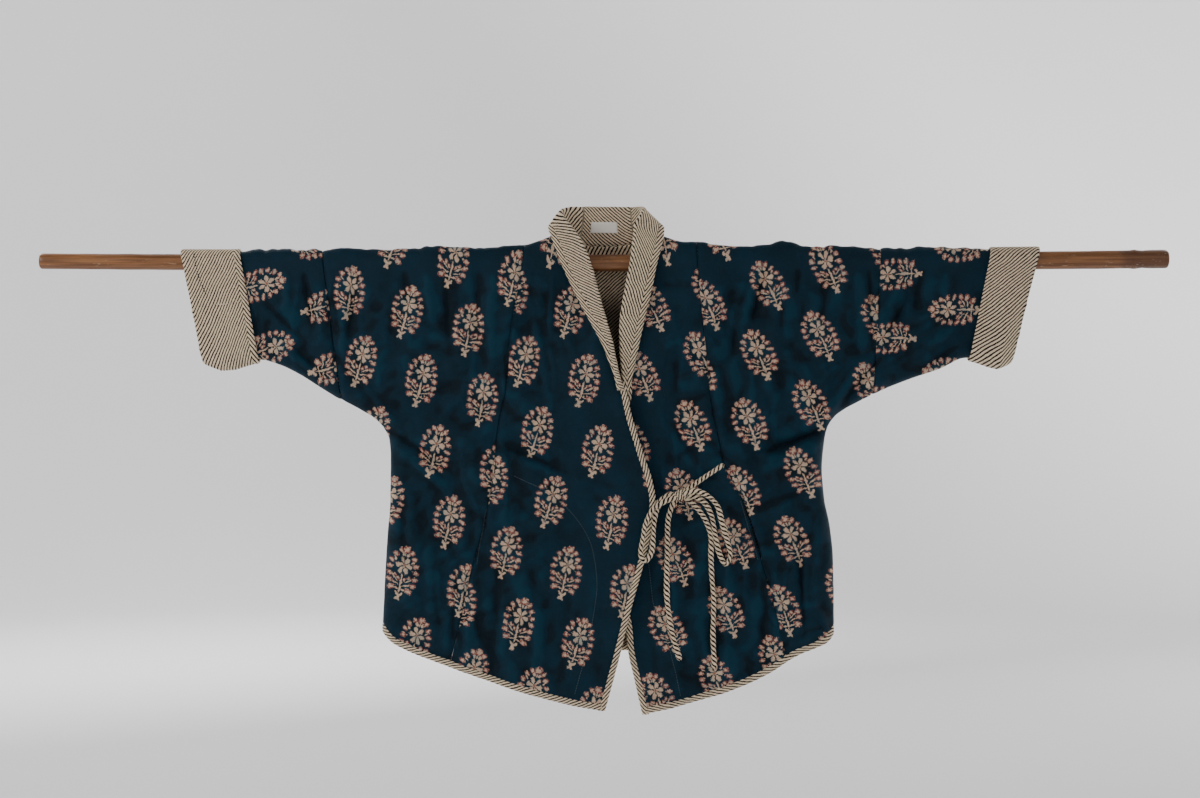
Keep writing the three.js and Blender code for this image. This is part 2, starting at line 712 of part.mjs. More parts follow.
// The height of a hem's lower edge, and of its binding measured straight up so that it keeps its width.
const hemLine = (name, x) => lookUp(HEM[name], "x", "z", x);
function hemBand(name, x) {
  const slope = clamp((hemLine(name, x + 2) - hemLine(name, x - 2)) / 4, -1.2, 1.2);
  return BINDING_WIDTH * Math.hypot(1, slope);
}
const hemGap = (x) => SEAM + 1.1 * ease(200, 290, Math.abs(x));
const hemZ = (name) => (x) => hemLine(name, x) + hemBand(name, x) + hemGap(x);

function frontSide(half) {
  const way = half === "right" ? 1 : -1;
  const rows = panelRows({
    name: half,
    from: (z) => outerX(half, z) + way * seamRoom(z),
    to: (z) => tableX(PRINCESS, half)(z) - (way * SEAM) / 2,
    spread: (a, b, z) => crowded(a, b, z, half, 5),
    hem: hemZ(half),
  });
  return wall(rows, WALL / 2, WALL / 2);
}

function frontCentre(half) {
  const way = half === "right" ? 1 : -1;
  const shares = [0, 0.12, 0.3, 0.5, 0.7, 0.86, 1];
  const rows = panelRows({
    name: half,
    from: (z) => tableX(PRINCESS, half)(z) + (way * SEAM) / 2,
    to: (z) => innerX(half, z),
    spread: (a, b) => shares.map((s) => mix(a, b, s)),
    hem: hemZ(half),
  });
  return wall(rows, WALL / 2, WALL / 2);
}

// The back neckline: the drop where the back's top edge lies, lower between the two neck points.
const NECK_HALF = 64;
const NECK_DROP = { side: -WRAP, middle: -9.5 };
const backTop = (x) => mix(NECK_DROP.side, NECK_DROP.middle, Math.sqrt(1 - clamp(Math.abs(x - 2) / NECK_HALF, 0, 1) ** 2.2));

function back() {
  const plain = 3;
  const neck = [-90, -66, -58, -48, -32, 0, 36, 52, 62, 70, 94];
  const rows = panelRows({
    name: "back",
    from: (z) => outerX("right", z) + seamRoom(z),
    to: (z) => outerX("left", z) - seamRoom(z),
    spread: (a, b, z) => [
      ...crowded(a, neck[0], z, "right", plain),
      ...neck.slice(1, -1),
      ...crowded(b, neck.at(-1), z, "left", plain).reverse(),
    ],
    top: backTop,
    hem: hemZ("back"),
  });
  return wall(rows, WALL / 2, WALL / 2);
}

// ---------------------------------------------------------------- sleeves and cuffs

const RING_DROPS = [-WRAP, -16.5, -8, 0, 28, 58, 86];

// One ring of the sleeve, front from the shoulder line down and back up again. share runs from the
// sleeve seam to the sleeve's end.
function sleeveRing(half, share) {
  const face = (name) => {
    const points = [];
    const xAt = (z) => mix(outerX(half, Math.max(z, SIDE[half][0].z)), ringX(half, "end", z), share);
    const bottom = underarmDrop(half, share);
    const drops = [...RING_DROPS];
    for (const step of [...EDGE_STEPS].reverse()) drops.push(bottom - step * 1.12);
    drops.push(bottom - 0.02);
    for (const h of drops) {
      let x = xAt(0);
      const z = h < 0 ? RING_TOP * Math.cos((Math.PI / 2) * (1 + h / WRAP)) : -h;
      for (let pass = 0; pass < 6; pass++) x = xAt(z);
      points.push(skin(name, x + ringShift(half, share), h));
    }
    return points;
  };
  return [...face(half), ...face("back").reverse()];
}

const ringShift = (half, share) => (share === 0 ? ((half === "right" ? -1 : 1) * SEAM) / 2 : 0);

function underarmDrop(half, share) {
  let z = UNDERARM[half][0].z;
  for (let pass = 0; pass < 20; pass++) {
    const x = mix(outerX(half, Math.max(z, SIDE[half][0].z)), ringX(half, "end", z), share);
    z = mix(z, lookUp(UNDERARM[half], "x", "z", x), 0.7);
  }
  const x = mix(outerX(half, z), ringX(half, "end", z), share);
  return rodZ(x) - z;
}

const SLEEVE_SHARES = [0, 0.14, 0.3, 0.46, 0.64, 0.84, 0.985];

function sleeve(half) {
  const rows = SLEEVE_SHARES.map((share) => sleeveRing(half, share));
  return wall(rows, WALL / 2, WALL / 2, true);
}

// The turned-back cuff stands off the sleeve, hangs lower and folds in at its outer end.
const CUFF = {
  right: { start: 0.585, sag: [1, 6, 13, 15, 10, 7], turn: 1.9 },
  left: { start: 0.695, sag: [1, 5, 11, 15, 11, 8], turn: 1.9 },
};
const CUFF_STEPS = [0, 0.2, 0.45, 0.7, 0.9, 1];
const FOLD_STEPS = [45, 90, 135, 180];

// A ring round the sleeve, moved out by `off` and hanging lower by `sag`.
function cuffRing(half, share, off, sag, shift) {
  return sleeveRing(half, share).map(({ point, normal }) => {
    const moved = add(point, normal, off);
    const low = ease(-20, -125, point[2]);
    const bulge = Math.abs(normal[2]) < 0.9 ? 1 : 0.6;
    return [moved[0] + shift, moved[1] * (1 + 0.05 * low * bulge), moved[2] - sag * low];
  });
}

function cuff(half) {
  const { start, sag, turn } = CUFF[half];
  const way = half === "right" ? -1 : 1;
  const off = WALL / 2 + 0.5 + CUFF_WALL / 2 + 0.2;
  const rows = CUFF_STEPS.map((step, k) => {
    const share = mix(start, 1, step);
    return cuffRing(half, share, off, sag[k], 0);
  });
  for (const deg of FOLD_STEPS) {
    const angle = (deg * Math.PI) / 180;
    const inn = (1 - Math.cos(angle)) / 2;
    rows.push(cuffRing(half, 1, off * (1 - inn), sag.at(-1) * (1 - inn), way * turn * Math.sin(angle)));
  }
  const grid = withNormals(rows, true, (point, i, j) => {
    const centre = [point[0], 0, Math.min(0, Math.max(point[2], -110))];
    const out = add(point, centre, -1);
    const fold = i - CUFF_STEPS.length;
    if (fold < 0) return out;
    const angle = (FOLD_STEPS[fold] * Math.PI) / 180;
    return add(unit(out).map((v) => v * Math.cos(angle)), [way, 0, 0], Math.sin(angle));
  });
  return wall(grid, CUFF_WALL / 2, CUFF_WALL / 2, true);
}

// ---------------------------------------------------------------- collar and label

// Where the collar is sewn on: the point on the neckline of a skin and the way out of the cloth there.
function neckPoint({ on, at }) {
  if (on === "back") return skin("back", at, backTop(at));
  const x = lookUp(NECKLINE[on], "z", "x", at);
  const up = at - rodZ(x);
  const turn = Math.acos(clamp(up / shoulderRise(x), -1, 1));
  return skin(on, x, up > 0 ? WRAP * (turn / (Math.PI / 2) - 1) : -up);
}

// Smooth curves through the rows of the collar's table; t runs from 0 to 1 round the neck.
const curveOf = (points) =>
  new THREE.CatmullRomCurve3(points.map((p) => new THREE.Vector3(...p)), false, "centripetal");
const neckPoints = COLLAR.map(neckPoint);
const COLLAR_LINES = {
  base: curveOf(neckPoints.map(({ point }) => point)),
  away: curveOf(neckPoints.map(({ normal }) => normal)),
  roll: curveOf(COLLAR.map((row) => [row.rollX, row.rollY, row.rollZ])),
  edge: curveOf(COLLAR.map((row) => [row.edgeX, row.edgeY, row.edgeZ])),
};
const COLLAR_CLEAR = { roll: 6.5, edge: WALL / 2 + COLLAR_BINDING_WALL / 2 + 2 * SEAM };

// A point of the roll or the edge, kept clear of the front that it lies on.
function collarPoint(column, t) {
  const [x, y, z] = COLLAR_LINES[column].getPoint(t).toArray();
  const under = DEPTH[t < 0.5 ? "right" : "left"](x, Math.min(z, 0)) + COLLAR_CLEAR[column];
  return [x, z < 0 ? Math.min(y, -under) : y, z];
}

// The lower end of the stand, just off the face of the cloth that it is sewn to.
function collarFoot(t) {
  const base = COLLAR_LINES.base.getPoint(t).toArray();
  const away = unit(COLLAR_LINES.away.getPoint(t).toArray());
  const stand = unit(add(collarPoint("roll", t), base, -1));
  const lean = Math.hypot(...cross(away, stand));
  return add(base, away, WALL / 2 + SEAM + (COLLAR_WALL / 2) * lean + 0.5);
}

// The collar's section at t: up the stand, round the roll and down the fall, as plain points.
const TURN_STEPS = [0, 45, 90, 135, 180];
function collarSection(t, fallSteps) {
  const [foot, roll, edge] = [collarFoot(t), collarPoint("roll", t), collarPoint("edge", t)];
  const behind = ease(-6, 14, roll[1]);
  const radius = mix(COLLAR_TURN.front, COLLAR_TURN.back, behind);
  const stand = unit(add(roll, foot, -1));
  const fall = add(edge, roll, -1);
  const lean = fall[0] * stand[0] + fall[1] * stand[1] + fall[2] * stand[2];
  const out = unit(add(fall, stand, -lean));
  const middle = add(add(roll, out, radius), stand, -radius);
  const turn = TURN_STEPS.map((deg) => {
    const a = (deg * Math.PI) / 180;
    return add(add(middle, out, -radius * Math.cos(a)), stand, radius * Math.sin(a));
  });
  const points = [foot, mixPoint(foot, turn[0], 0.5), ...turn];
  const start = turn.at(-1);
  const length = Math.hypot(...add(edge, start, -1));
  for (const step of fallSteps(length)) points.push(mixPoint(start, edge, step));
  return points;
}

// The share of the fall that is left above its binding, which is narrower at the tips.
const boundShare = (length) => 1 - Math.min(BINDING_WIDTH, 0.7 * length) / length;

const COLLAR_STATIONS = 45;
const collarTs = Array.from({ length: COLLAR_STATIONS }, (_, k) => k / (COLLAR_STATIONS - 1));

function collar() {
  const rows = collarTs.map((t) => {
    return collarSection(t, (length) => {
      const end = boundShare(length) - SEAM / length;
      return [end * 0.5, end];
    });
  });
  return wall(collarNormals(rows), COLLAR_WALL / 2, COLLAR_WALL / 2);
}

function collarNormals(rows) {
  return rows.map((row, i) =>
    row.map((point, j) => {
      const next = row[Math.min(row.length - 1, j + 1)];
      const last = row[Math.max(0, j - 1)];
      const before = rows[Math.max(0, i - 1)][j];
      const after = rows[Math.min(rows.length - 1, i + 1)][j];
      return { point, normal: unit(cross(add(next, last, -1), add(after, before, -1))) };
    }),
  );
}

function collarBinding() {
  const rows = collarTs.map((t) => {
    const points = collarSection(t, (length) => {
      const start = boundShare(length) + SEAM / length;
      return [start, mix(start, 1, 0.5), 1];
    });
    return points.slice(-3);
  });
  const grid = collarNormals(rows);
  const half = (i, j) => (COLLAR_BINDING_WALL / 2) * (j === 2 ? 0.55 : 1);
  return wall(grid, half, half);
}

function label() {
  const columns = 5;
  const rows = [0, 0.5, 1].map((v) =>
    Array.from({ length: columns }, (_, j) => {
      const x = LABEL.x + LABEL.width * (j / (columns - 1) - 0.5);
      let t = 0.5;
      for (let pass = 0; pass < 20; pass++) t += (x - collarPoint("roll", t)[0]) / 700;
      const [foot, roll] = [collarFoot(t), collarPoint("roll", t)];
      const tall = Math.hypot(...add(roll, foot, -1));
      const share = 1 - (LABEL.drop + LABEL.height * (v - 0.5)) / tall;
      return mixPoint(foot, roll, share);
    }),
  );
  const grid = withNormals(rows, false, () => [0, -1, 0]);
  const near = COLLAR_WALL / 2 + SEAM;
  return wall(grid, near + LABEL.thick, -near);
}

// ---------------------------------------------------------------- bindings

// A strip along an edge of a skin. path gives the outer line's x and height, inward the step to its inner line.
function edgeBinding(name, path) {
  const across = [0, 0.35, 0.75, 1];
  const rows = path.map(({ x, z, inward }) =>
    across.map((share) => {
      const [px, pz] = [x + inward[0] * share, z + inward[1] * share];
      return skin(name, px, rodZ(px) - pz);
    }),
  );
  const half = (i, j) => (BINDING_WALL / 2) * (j === 0 ? 0.5 : j === 1 ? 0.94 : 1);
  return wall(rows, half, half);
}

// The points of a hem from x1 to x2, each with the way into the cloth.
function hemPath(name, x1, x2, steps) {
  return Array.from({ length: steps + 1 }, (_, k) => {
    const x = mix(x1, x2, 0.5 - 0.5 * Math.cos((Math.PI * k) / steps));
    return { x, z: hemLine(name, x), inward: [0, hemBand(name, x)] };
  });
}

function hemBinding(name) {
  const side = { right: sideXAtHem("right"), left: sideXAtHem("left") };
  const corner = {
    right: lookUp(FRONT_EDGE.right, "z", "x", -598) - BINDING_WIDTH - 3 * SEAM,
    left: lookUp(FRONT_EDGE.left, "z", "x", -602) + BINDING_WIDTH + 3 * SEAM,
  };
  if (name === "back") return edgeBinding("back", hemPath("back", side.right, side.left, 22));
  if (name === "right") return edgeBinding(name, hemPath(name, side.right, corner.right, 18));
  return edgeBinding(name, hemPath(name, corner.left, side.left, 18));
}

// Where the hem meets the side seam, kept a little inside it.
function sideXAtHem(half) {
  const way = half === "right" ? 1 : -1;
  return lookUp(SIDE[half], "z", "x", -496) + way * 1.2;
}

function frontBinding(half) {
  const side = half === "right" ? 1 : -1;
  const bottom = hemLine(half, lookUp(FRONT_EDGE[half], "z", "x", -600)) + 0.5;
  const last = BODY_DROPS.at(-1);
  const below = BODY_DROPS.filter((drop) => drop > 8 - BREAK_Z && drop < last);
  const hem = hemZ(half)(innerX(half, bottom));
  const lower = [0, ...HEM_SHARES].map((share) => mix(-last, hem, share));
  const heights = [BREAK_Z - 4, ...below.map((drop) => -drop), ...lower, bottom];
  const path = heights.map((z) => {
    return { x: lookUp(FRONT_EDGE[half], "z", "x", z), z, inward: [-side * BINDING_WIDTH, 0] };
  });
  return edgeBinding(half, path);
}

// ---------------------------------------------------------------- ties

// How far a point is from the middle of the knot, where 1 is a knot grown by `grow`.
function knotReach([x, y, z], grow) {
  const a = (KNOT.tilt * Math.PI) / 180;
  const [dx, dz] = [x - KNOT.x, z - KNOT.z];
  const [u, w] = [dx * Math.cos(a) + dz * Math.sin(a), dz * Math.cos(a) - dx * Math.sin(a)];
  return Math.hypot(u / (KNOT.rx + grow), (y - KNOT.y) / (KNOT.ry + grow), w / (KNOT.rz + grow));
}

// A flat strip along a curve, as much of it as lies outside the knot. Its width lies in the plane of the front.
function strip(points, width, thick, steps) {
  const curve = curveOf(points.map(({ x, y, z }) => [x, y, z]));
  const section = (u) => {
    const point = curve.getPointAt(u).toArray();
    const along = curve.getTangentAt(u).toArray();
    const side = unit(cross(along, [0, -1, 0]));
    const normal = unit(cross(side, along));
    return [-0.5, -0.3, 0.3, 0.5].map((s) => ({ point: add(point, side, s * width), normal }));
  };
  const clear = (u) => section(u).every(({ point }) => knotReach(point, thick / 2 + SEAM) > 1);
  let [start, end] = [0, 1];
  while (!clear(start)) start += 0.002;
  while (!clear(end)) end -= 0.002;
  const rows = Array.from({ length: steps + 1 }, (_, k) => section(mix(start, end, k / steps)));
  const half = (i, j) => (thick / 2) * (j === 0 || j === 3 ? 0.45 : 1);
  return wall(rows, half, half);
}

function knotGeometry() {
  const geometry = new THREE.SphereGeometry(1, 14, 10);
  geometry.scale(KNOT.rx, KNOT.ry, KNOT.rz);
  geometry.rotateY((-KNOT.tilt * Math.PI) / 180);
  geometry.translate(KNOT.x, KNOT.y, KNOT.z);
  return geometry;
}

// ---------------------------------------------------------------- rod

function rod() {
  const sides = 20;
  const stations = [-1, -0.9965, -0.75, -0.5, -0.25, 0, 0.25, 0.5, 0.75, 0.92, 0.94, 0.96, 0.9965, 1];
  const profile = [];
  for (const s of stations) {
    const x = s * ROD_HALF;
    const node = 0.7 * Math.exp(-(((s - 0.94) / 0.012) ** 2));
    const end = Math.abs(s) === 1 ? -1.6 : 0;
    profile.push({ x, radius: rodRadius(x) + node + end });
  }
  const position = [];
  for (const { x, radius } of profile)
    for (let j = 0; j < sides; j++) {
      const a = (2 * Math.PI * (j + 0.5)) / sides;
      position.push(x, radius * Math.cos(a), rodZ(x) + radius * Math.sin(a));
    }
  const index = [];
  const at = (i, j) => i * sides + (j % sides);
  for (let i = 0; i + 1 < profile.length; i++)
    for (let j = 0; j < sides; j++)
      index.push(at(i, j), at(i, j + 1), at(i + 1, j + 1), at(i, j), at(i + 1, j + 1), at(i + 1, j));
  const last = profile.length - 1;
  for (let j = 1; j + 1 < sides; j++) {
    index.push(at(0, 0), at(0, j + 1), at(0, j));
    index.push(at(last, 0), at(last, j), at(last, j + 1));
  }
  return geometryOf(position, index);
}

// ---------------------------------------------------------------- the jacket

const MATERIALS = {
  print: { color: 0x0f2a3d, roughness: 0.9, metalness: 0 },
  stripe: { color: 0xa8967c, roughness: 0.92, metalness: 0 },
  label: { color: 0xd6cdc2, roughness: 0.85, metalness: 0 },
  bamboo: { color: 0x8a5a2c, roughness: 0.45, metalness: 0 },
};

const jacket = new THREE.Group();
function place(name, geometry, finish) {
  const mesh = new THREE.Mesh(geometry, new THREE.MeshStandardMaterial(MATERIALS[finish]));
  mesh.name = name;
  jacket.add(mesh);
}

place("rod", rod(), "bamboo");
place("back", back(), "print");
for (const half of ["right", "left"]) {
  place(`front_side_${half}`, frontSide(half), "print");
  place(`front_centre_${half}`, frontCentre(half), "print");
  place(`sleeve_${half}`, sleeve(half), "print");
  place(`cuff_${half}`, cuff(half), "stripe");
  place(`binding_front_${half}`, frontBinding(half), "stripe");
  place(`binding_hem_${half}`, hemBinding(half), "stripe");
}
place("binding_hem_back", hemBinding("back"), "stripe");
place("collar", collar(), "stripe");
place("binding_collar", collarBinding(), "stripe");
place("label", label(), "label");

place("bow_knot", knotGeometry(), "stripe");
for (const [name, points] of Object.entries(TIES)) {
  place(name, strip(points, TIE_WIDTH, TIE_WALL, 2 * points.length), "stripe");
}

export default jacket;
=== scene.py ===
"""Looks of a kimono jacket of quilted block-printed cotton with a striped lining, hung on a bamboo rod."""

import math
from functools import partial

import bmesh
import bpy
import numpy as np
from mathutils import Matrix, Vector


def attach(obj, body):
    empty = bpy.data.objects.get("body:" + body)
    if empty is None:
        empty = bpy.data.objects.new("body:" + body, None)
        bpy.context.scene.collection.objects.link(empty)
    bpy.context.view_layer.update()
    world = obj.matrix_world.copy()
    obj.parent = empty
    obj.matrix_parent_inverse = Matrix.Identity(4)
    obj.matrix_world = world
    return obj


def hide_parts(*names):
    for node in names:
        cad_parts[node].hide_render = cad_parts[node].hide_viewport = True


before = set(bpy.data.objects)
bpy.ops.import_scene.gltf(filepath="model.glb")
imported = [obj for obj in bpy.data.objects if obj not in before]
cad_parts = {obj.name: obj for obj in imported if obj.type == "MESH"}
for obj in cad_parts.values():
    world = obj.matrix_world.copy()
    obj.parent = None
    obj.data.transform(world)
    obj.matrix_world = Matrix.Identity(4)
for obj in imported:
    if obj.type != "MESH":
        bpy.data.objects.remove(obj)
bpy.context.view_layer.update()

MM = 0.001  # the tables below are in millimetres

# ---------------------------------------------------------------- camera

VIEW_WIDTH = 1.62  # what the photograph's frame takes in at the garment
VIEW_CENTRE = (-0.0054, -0.1836)
VIEW_DISTANCE = 3.2
SENSOR = 36

camera_data = bpy.data.cameras.new("camera")
camera_data.sensor_width = SENSOR
camera_data.lens = SENSOR * VIEW_DISTANCE / VIEW_WIDTH
camera = bpy.data.objects.new("camera", camera_data)
camera.location = (VIEW_CENTRE[0], -VIEW_DISTANCE, VIEW_CENTRE[1])
camera.rotation_euler = (math.radians(90), 0, 0)
bpy.context.scene.collection.objects.link(camera)
bpy.context.scene.camera = camera

# ---------------------------------------------------------------- sizes, as in the part

WALL = 3.0
COLLAR_WALL = 2.4
CUFF_WALL = 2.6
SEAM = 0.3
SEAT = 0.35
WRAP = 25.0
ROLL_OVER = 17.0
BINDING_WIDTH = 9.0
BINDING_WALL = 4.2
COLLAR_BINDING_WALL = 3.4
ROD_HALF = 761.0
ROD_RADIUS = (10.6, 12.4)
ROD_BOW = 4.0
ROD_TILT = 1.5
TIE_WIDTH = 6.9
RING_TOP = 18.0
RING_DROP = 150.0
BREAK_Z = -172.0
NECK_HALF = 64.0
NECK_DROP = (-WRAP, -9.5)

# x, lift of the shoulder line
SHOULDER_LIFT = [
    (-620, 0), (-470, 0.3), (-424, 0.2), (-380, 1.4), (-330, 3.6), (-275, 3.2), (-221, 5.6), (-167, 3.4),
    (-113, 9), (-86, 17), (-62, 25), (0, 27), (66, 25), (103, 15), (130, 11), (177, 5), (211, 7.4),
    (250, 10), (270, 5.2), (319, 4.6), (360, 2.6), (400, 0.6), (427, 2.2), (454, 0.2), (620, 0),
]
# z, x
PRINCESS = {
    "right": [(24, -107), (-32, -115), (-100, -126), (-167, -131), (-221, -142), (-316, -154), (-370, -165),
              (-424, -181), (-478, -192), (-560, -212)],
    "left": [(22, 125), (-32, 128), (-107, 136), (-181, 143), (-235, 154), (-270, 161), (-323, 188),
             (-404, 213), (-444, 224), (-560, 252)],
}
SIDE = {
    "right": [(-184, -354), (-198, -327), (-209, -309), (-223, -296), (-238, -289), (-262, -287),
              (-316, -287.5), (-370, -291.5), (-424, -294.5), (-500, -298.5)],
    "left": [(-177, 362), (-188, 340), (-196, 325), (-207, 310), (-223, 300), (-242, 296), (-275, 293),
             (-316, 296), (-356, 304), (-397, 308), (-505, 310)],
}
# x, z
UNDERARM = {
    "right": [(-354, -184), (-383, -166), (-410, -149), (-437, -136), (-462, -129), (-560, -124)],
    "left": [(362, -177), (373, -171), (413, -155), (454, -141), (485, -127), (570, -122)],
}
# ring: x on the shoulder line, change of x down to the underarm
SLEEVE_RINGS = {
    "right": {"seam": (-380, 26), "cuff": (-490, 28), "end": (-569, 32)},
    "left": {"seam": (373, -11), "cuff": (521, -36), "end": (586, -40)},
}
# z, x
NECKLINE = {
    "right": [(40, -64), (20, -48), (0, -34), (-32, -20), (-65, -7), (-107, 7), (-147, 17.5), (-180, 24)],
    "left": [(40, 68), (20, 55), (0, 48), (-32, 40), (-65, 33), (-107, 29), (-132, 29), (-180, 31)],
}
FRONT_EDGE = {
    "right": [(-140, 23), (-176, 31), (-205, 37), (-235, 46), (-262, 54.5), (-292, 64.5), (-323, 69.5),
              (-356, 65), (-383, 58.5), (-418, 49.5), (-455, 39), (-491, 30), (-526, 21.5),
              (-566, 11), (-603, 1)],
    "left": [(-140, 30), (-176, 29), (-211, 20), (-256, 8), (-296, 0), (-323, -3), (-356, 0), (-396, 8),
             (-436, 17), (-466, 25), (-492, 29.5), (-523, 32.5), (-559, 40.5), (-610, 52)],
}
# x, z
HEM = {
    "right": [(-300, -494), (-292, -504), (-283, -512), (-265, -521), (-223, -537.5), (-177, -555),
              (-130, -571), (-84, -584.5), (-38, -595.5), (3, -602)],
    "left": [(48, -608), (96, -597.5), (146, -583), (196, -565), (224, -551), (246, -536.5), (264, -526),
             (285, -518), (300, -510.5), (311, -498)],
    "back": [(-300, -494), (-283, -503), (-200, -512), (0, -525), (200, -515), (295, -507), (311, -498)],
}
# Folds of each skin: from x, z to x, z, half width, rise (a trough where negative). The first are the part's.
FOLDS = {
    "right": [
        (-292, -236, -205, -285, 15, -4), (-150, -232, 20, -305, 13, -3), (-180, -245, -30, -325, 15, 3),
        (-208, -10, -190, -190, 16, 3.5), (-262, -320, -252, -480, 16, 4), (-100, -380, -120, -570, 22, 3),
        (-300, -20, -318, -130, 13, 2.5), (-396, -30, -376, -140, 12, 2.5), (-450, -90, -380, -150, 9, -3),
    ],
    "left": [
        (298, -226, 200, -262, 12, -6), (290, -262, 190, -300, 15, 4), (178, -4, 164, -150, 13, -4.5),
        (250, 0, 214, -200, 14, 5), (412, -30, 386, -120, 10, -4.5), (515, -84, 432, -136, 11, -5.5),
        (330, -20, 330, -150, 14, 3), (240, -330, 262, -500, 18, 4.5), (200, -420, 190, -560, 17, -3.5),
        (110, -330, 128, -570, 20, -3),
    ],
    "back": [
        (-180, -60, -200, -480, 26, 4), (-70, -90, -90, -500, 24, -4), (40, -80, 30, -500, 26, 4),
        (150, -60, 175, -490, 24, -4), (-290, -232, -190, -275, 14, -4), (296, -228, 200, -270, 14, -4),
        (-420, -40, -390, -140, 13, 3), (430, -40, 395, -140, 13, 3),
    ],
}
# Finer creases, in the same columns.
CREASES = {
    "right": [
        (-289, -225, -232, -262, 5, -2.2), (-280, -250, -215, -296, 6, 1.8), (-140, -239, -20, -300, 5, -1.8),
        (-120, -262, 30, -316, 6, 1.6), (-90, -300, 40, -330, 5, -1.2), (-60, -352, 50, -338, 6, 1.2),
        (-214, -6, -206, -120, 5, -2), (-240, -12, -226, -90, 6, 1.6), (-168, -2, -172, -120, 5, -1.6),
        (-150, -8, -150, -150, 6, 1.4), (-268, -4, -262, -80, 5, -1.6), (-330, -8, -342, -100, 5, -1.8),
        (-352, -14, -350, -150, 5, 1.6), (-404, -6, -392, -86, 4.5, -2), (-430, -4, -424, -70, 5, 1.6),
        (-470, -40, -396, -112, 5, -1.6), (-440, -104, -380, -156, 4.5, 1.8), (-366, -120, -300, -190, 6, -2),
        (-340, -140, -284, -214, 5, 1.8), (-262, -250, -190, -330, 7, 1.6), (-270, -300, -268, -420, 6, -1.6),
        (-236, -350, -230, -500, 7, 1.6), (-196, -400, -206, -520, 5, -1.8), (-176, -430, -186, -560, 7, 1.5),
        (-140, -400, -150, -560, 6, -1.6), (-84, -420, -92, -580, 7, 1.6), (-40, -400, -60, -590, 6, -1.5),
        (-10, -380, -24, -560, 7, 1.4), (-96, -60, -70, -200, 6, 1.4), (-60, -90, -20, -210, 5, -1.2),
    ],
    "left": [
        (296, -224, 214, -257, 4.5, -3), (286, -244, 206, -282, 6, 2), (224, 8, 195, -86, 5, -3),
        (212, 0, 184, -96, 6, 2), (262, 4, 258, -44, 4.5, -2.2), (240, -46, 238, -96, 4.5, -1.8),
        (176, -90, 172, -140, 5, -2), (186, -170, 176, -206, 5, -1.6), (300, -4, 292, -90, 5, -1.8),
        (340, -10, 346, -120, 5, 1.8), (356, -4, 362, -120, 4.5, -1.8), (406, -50, 373, -104, 5, -2.6),
        (396, -34, 366, -88, 6, 1.8), (430, -2, 420, -60, 4.5, -2), (514, -90, 427, -144, 5, -3),
        (500, -70, 430, -112, 7, 1.8), (460, -10, 456, -60, 5, 1.6), (380, -120, 316, -190, 6, -2),
        (350, -130, 300, -206, 5, 1.8), (282, -300, 214, -330, 6, -1.6), (290, -340, 282, -480, 6, 1.6),
        (262, -350, 268, -500, 5, -2), (232, -420, 236, -540, 6, 1.8), (216, -440, 214, -556, 5, -1.8),
        (170, -400, 168, -570, 7, 1.6), (146, -420, 150, -580, 5, -1.5), (88, -380, 100, -590, 7, 1.5),
        (60, -380, 70, -600, 5, -1.5), (150, -120, 160, -250, 6, 1.5), (96, -110, 100, -240, 7, -1.4),
        (132, -230, 190, -290, 6, -1.4), (70, -200, 130, -290, 6, 1.3),
    ],
    "back": [
        (-289, -226, -220, -258, 5, -2.2), (-284, -246, -210, -290, 6, 1.8), (294, -224, 222, -256, 5, -2.2),
        (288, -246, 214, -290, 6, 1.8), (-220, -8, -206, -120, 5, -1.8), (-150, -10, -140, -160, 6, 1.6),
        (-110, -40, -120, -240, 5, -1.6), (120, -30, 126, -230, 6, 1.6), (190, -8, 180, -140, 5, -1.8),
        (240, -6, 226, -120, 5, 1.8), (-330, -8, -338, -110, 5, -1.8), (338, -8, 346, -110, 5, -1.8),
        (-406, -8, -390, -90, 5, 1.8), (412, -8, 394, -92, 5, 1.8), (-366, -116, -300, -190, 6, -2),
        (372, -116, 306, -190, 6, -2), (-250, -300, -256, -480, 6, 1.6), (-140, -280, -150, -500, 6, -1.5),
        (-30, -260, -24, -510, 7, 1.5), (90, -270, 84, -500, 6, -1.5), (220, -300, 230, -490, 6, 1.6),
        (-210, -340, -214, -500, 5, -1.6), (130, -330, 126, -500, 6, 1.4), (0, -120, 10, -300, 5, -1.2),
    ],
}
# the collar's sections: skin it stands on, place there, roll x, y, z, edge x, y, z
COLLAR = [
    ("right", -173, 27.5, -30, -173, 18, -34, -172), ("right", -150, 20, -30, -150, 13, -34, -149),
    ("right", -130, 16, -30, -130, 5, -33, -130), ("right", -107, 11.5, -30, -107, -3.5, -32, -109),
    ("right", -66, 0, -28.5, -66, -25, -27, -69), ("right", -32, -9, -27.5, -32, -43, -24.5, -34),
    ("right", -2, -17, -27, -3, -57, -22.5, -3), ("right", 17, -27, -26, 22, -65, -19.5, 18),
    ("right", 31, -41, -22.5, 45, -71, -14, 34), ("back", -61, -56, -9, 66, -75, 0, 47),
    ("back", -52, -49, 10, 74, -68, 19, 40), ("back", -32, -26, 19, 76.5, -40, 29, 28),
    ("back", 2, 4, 21, 77, 2, 31.5, 23), ("back", 36, 30, 18, 76, 44, 29, 28),
    ("back", 56, 48, 8, 74.5, 75, 19, 40), ("back", 65, 50, -9, 68, 81, 0, 47),
    ("left", 31, 41, -21, 50, 80, -13, 34), ("left", 17, 38, -24.5, 25, 76, -18.5, 16),
    ("left", -2, 35, -25, 0, 71, -21, -3), ("left", -32, 29, -24, -30, 65, -22, -33),
    ("left", -66, 22.5, -23.5, -66, 57, -22, -67), ("left", -100, 20.5, -23, -100, 49, -22, -102),
    ("left", -132, 22, -22, -132, 42.5, -22, -134), ("left", -173, 25.5, -22, -173, 34, -22, -173),
]
COLLAR_TURN = (2.0, 4.2)  # radius of the roll at the front and at the back
